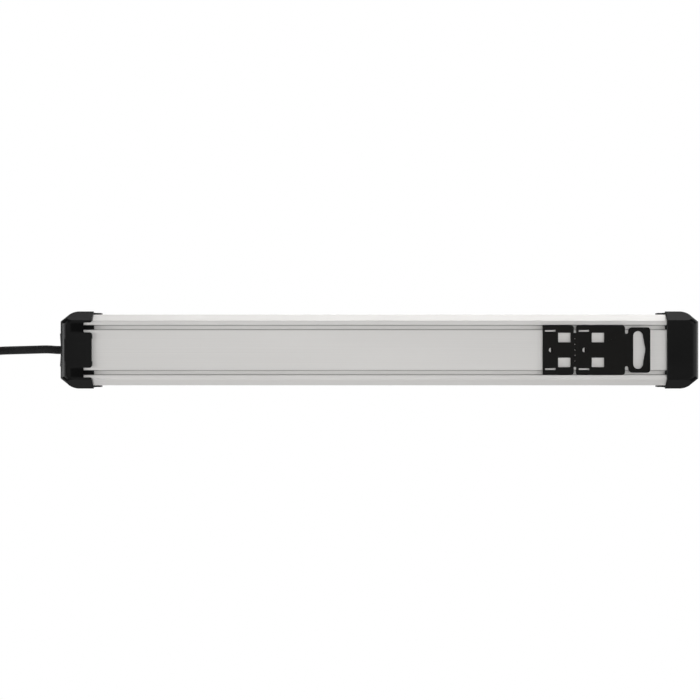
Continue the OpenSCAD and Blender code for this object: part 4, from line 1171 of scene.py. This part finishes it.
@dataclass(frozen=True)
class SoftBox:
    """One soft lamp that faces the strip, in metres and watts."""

    name: str
    place: Point
    size: tuple[float, float]
    power: float
    aim: Point = (0.0, 0.0, 0.02)

    def build(self) -> None:
        """Make the lamp and turn it to what it lights."""
        data = bpy.data.lights.new(self.name, "AREA")
        data.shape = "RECTANGLE"
        data.size, data.size_y = self.size
        data.energy = self.power
        lamp = bpy.data.objects.new(self.name, data)
        lamp.location = self.place
        lamp.rotation_euler = (Vector(self.aim) - Vector(self.place)).to_track_quat("-Z", "Y").to_euler()
        lamp.visible_camera = False
        bpy.context.scene.collection.objects.link(lamp)


@dataclass(frozen=True)
class Studio:
    """A pale floor that only shows from above, soft lamps over and under it, and a white surround."""

    floor_z: float = -0.0004
    floor_half: float = 2.4
    floor_fade: Span = (0.55, 1.15)
    floor_tone: Colour = (0.90, 0.90, 0.895)
    floor_roughness: float = 0.7
    lit_height: Span = (0.0, 0.7)
    lit_strength: float = 0.6
    mirrored_height: Span = (-0.05, 0.4)
    mirrored_strength: float = 0.4
    lamps: tuple[SoftBox, ...] = (
        SoftBox("back_soft", (0.0, 0.0, -2.2), (0.9, 0.9), 7.4),
        SoftBox("far_strip", (0.3, -1.3, 0.09), (2.4, 0.25), 9.3),
        SoftBox("near_strip", (0.0, 1.3, 0.10), (2.4, 0.35), 2.0),
        SoftBox("near_low", (0.0, 1.2, -0.8), (2.0, 0.8), 9.0),
        SoftBox("right_low", (1.5, 0.0, -0.3), (0.8, 1.2), 5.2),
        SoftBox("right_mid", (1.3, 0.0, -1.2), (1.0, 1.2), 5.8),
        SoftBox("right_high", (1.6, 0.0, 0.6), (0.8, 1.2), 7.6),
        SoftBox("left_low", (-1.6, 0.0, -0.15), (0.6, 1.2), 15.0),
        SoftBox("left_mid", (-1.5, 0.0, -0.75), (0.6, 1.2), 9.0),
        SoftBox("left_far", (-1.05, 0.0, -1.6), (0.5, 1.2), 0.9),
        SoftBox("over_key", (0.5, -1.1, 1.5), (2.2, 1.8), 17.0),
        SoftBox("over_fill", (-0.5, 1.0, 1.4), (2.2, 1.8), 11.0),
    )

    def floor(self) -> None:
        """Make the floor, seen by the camera from above only and fading into the white around it."""
        form = bmesh.new()
        bmesh.ops.create_grid(form, x_segments=1, y_segments=1, size=self.floor_half)
        bmesh.ops.translate(form, verts=form.verts, vec=(0.0, 0.0, self.floor_z))
        floor = link("floor", made_mesh("floor", form))
        made, shader = new_material("pale_floor", self.floor_tone)
        length = {"operation": "LENGTH"}
        from_middle = shader.node("ShaderNodeVectorMath", length, {0: shader.place()}, "Value")
        away = from_middle.rise(self.floor_fade)
        below = shader.node("ShaderNodeNewGeometry", output="Backfacing")
        look = {"Base Color": (*self.floor_tone, 1.0), "Roughness": self.floor_roughness}
        skin = shader.node("ShaderNodeBsdfPrincipled", inputs=look)
        gone = shader.node("ShaderNodeBsdfTransparent")
        hidden = shader.maths("MAXIMUM", away, below)
        mixed = shader.node("ShaderNodeMixShader", inputs={0: hidden, 1: skin, 2: gone})
        shader.node("ShaderNodeOutputMaterial", inputs={"Surface": mixed})
        floor.data.materials.append(made)
        floor.visible_shadow = False
        floor.visible_diffuse = False
        floor.visible_glossy = False
        floor.visible_transmission = False

    def surround(self) -> None:
        """Make a white surround for the camera, dimmer below the floor for what the strip mirrors."""
        world = bpy.data.worlds.new("surround")
        bpy.context.scene.world = world
        shader = Shader(world)
        ray = {
            name: shader.node("ShaderNodeLightPath", output=f"Is {name} Ray")
            for name in ("Camera", "Glossy", "Transmission")
        }
        toward = shader.node("ShaderNodeTexCoord", output="Generated")
        height = shader.node("ShaderNodeSeparateXYZ", inputs={0: toward}, output="Z")
        lit = height.rise(self.lit_height) * self.lit_strength
        mirrored = height.rise(self.mirrored_height) * self.mirrored_strength
        shiny = shader.maths("MAXIMUM", ray["Glossy"], ray["Transmission"])
        unseen = lit * (1 - shiny) + mirrored * shiny
        strength = unseen * (1 - ray["Camera"]) + ray["Camera"]
        white = {"Color": (1.0, 1.0, 1.0, 1.0), "Strength": strength}
        light = shader.node("ShaderNodeBackground", inputs=white)
        shader.node("ShaderNodeOutputWorld", inputs={"Surface": light})

    def build(self) -> None:
        """Make the floor, the surround and the lamps."""
        bpy.context.scene.view_settings.view_transform = "Standard"
        self.floor()
        self.surround()
        for lamp in self.lamps:
            lamp.build()


def main() -> None:
    """Build the scene in order, the camera and the lead first."""
    logging.basicConfig(level=logging.INFO, format="%(name)s: %(message)s")
    BackCamera().build()
    for assembly in (MainsLead(), Body(), ClipCard(), Front(), Wiring(), Studio()):
        assembly.build()


if __name__ == "__main__":
    main()
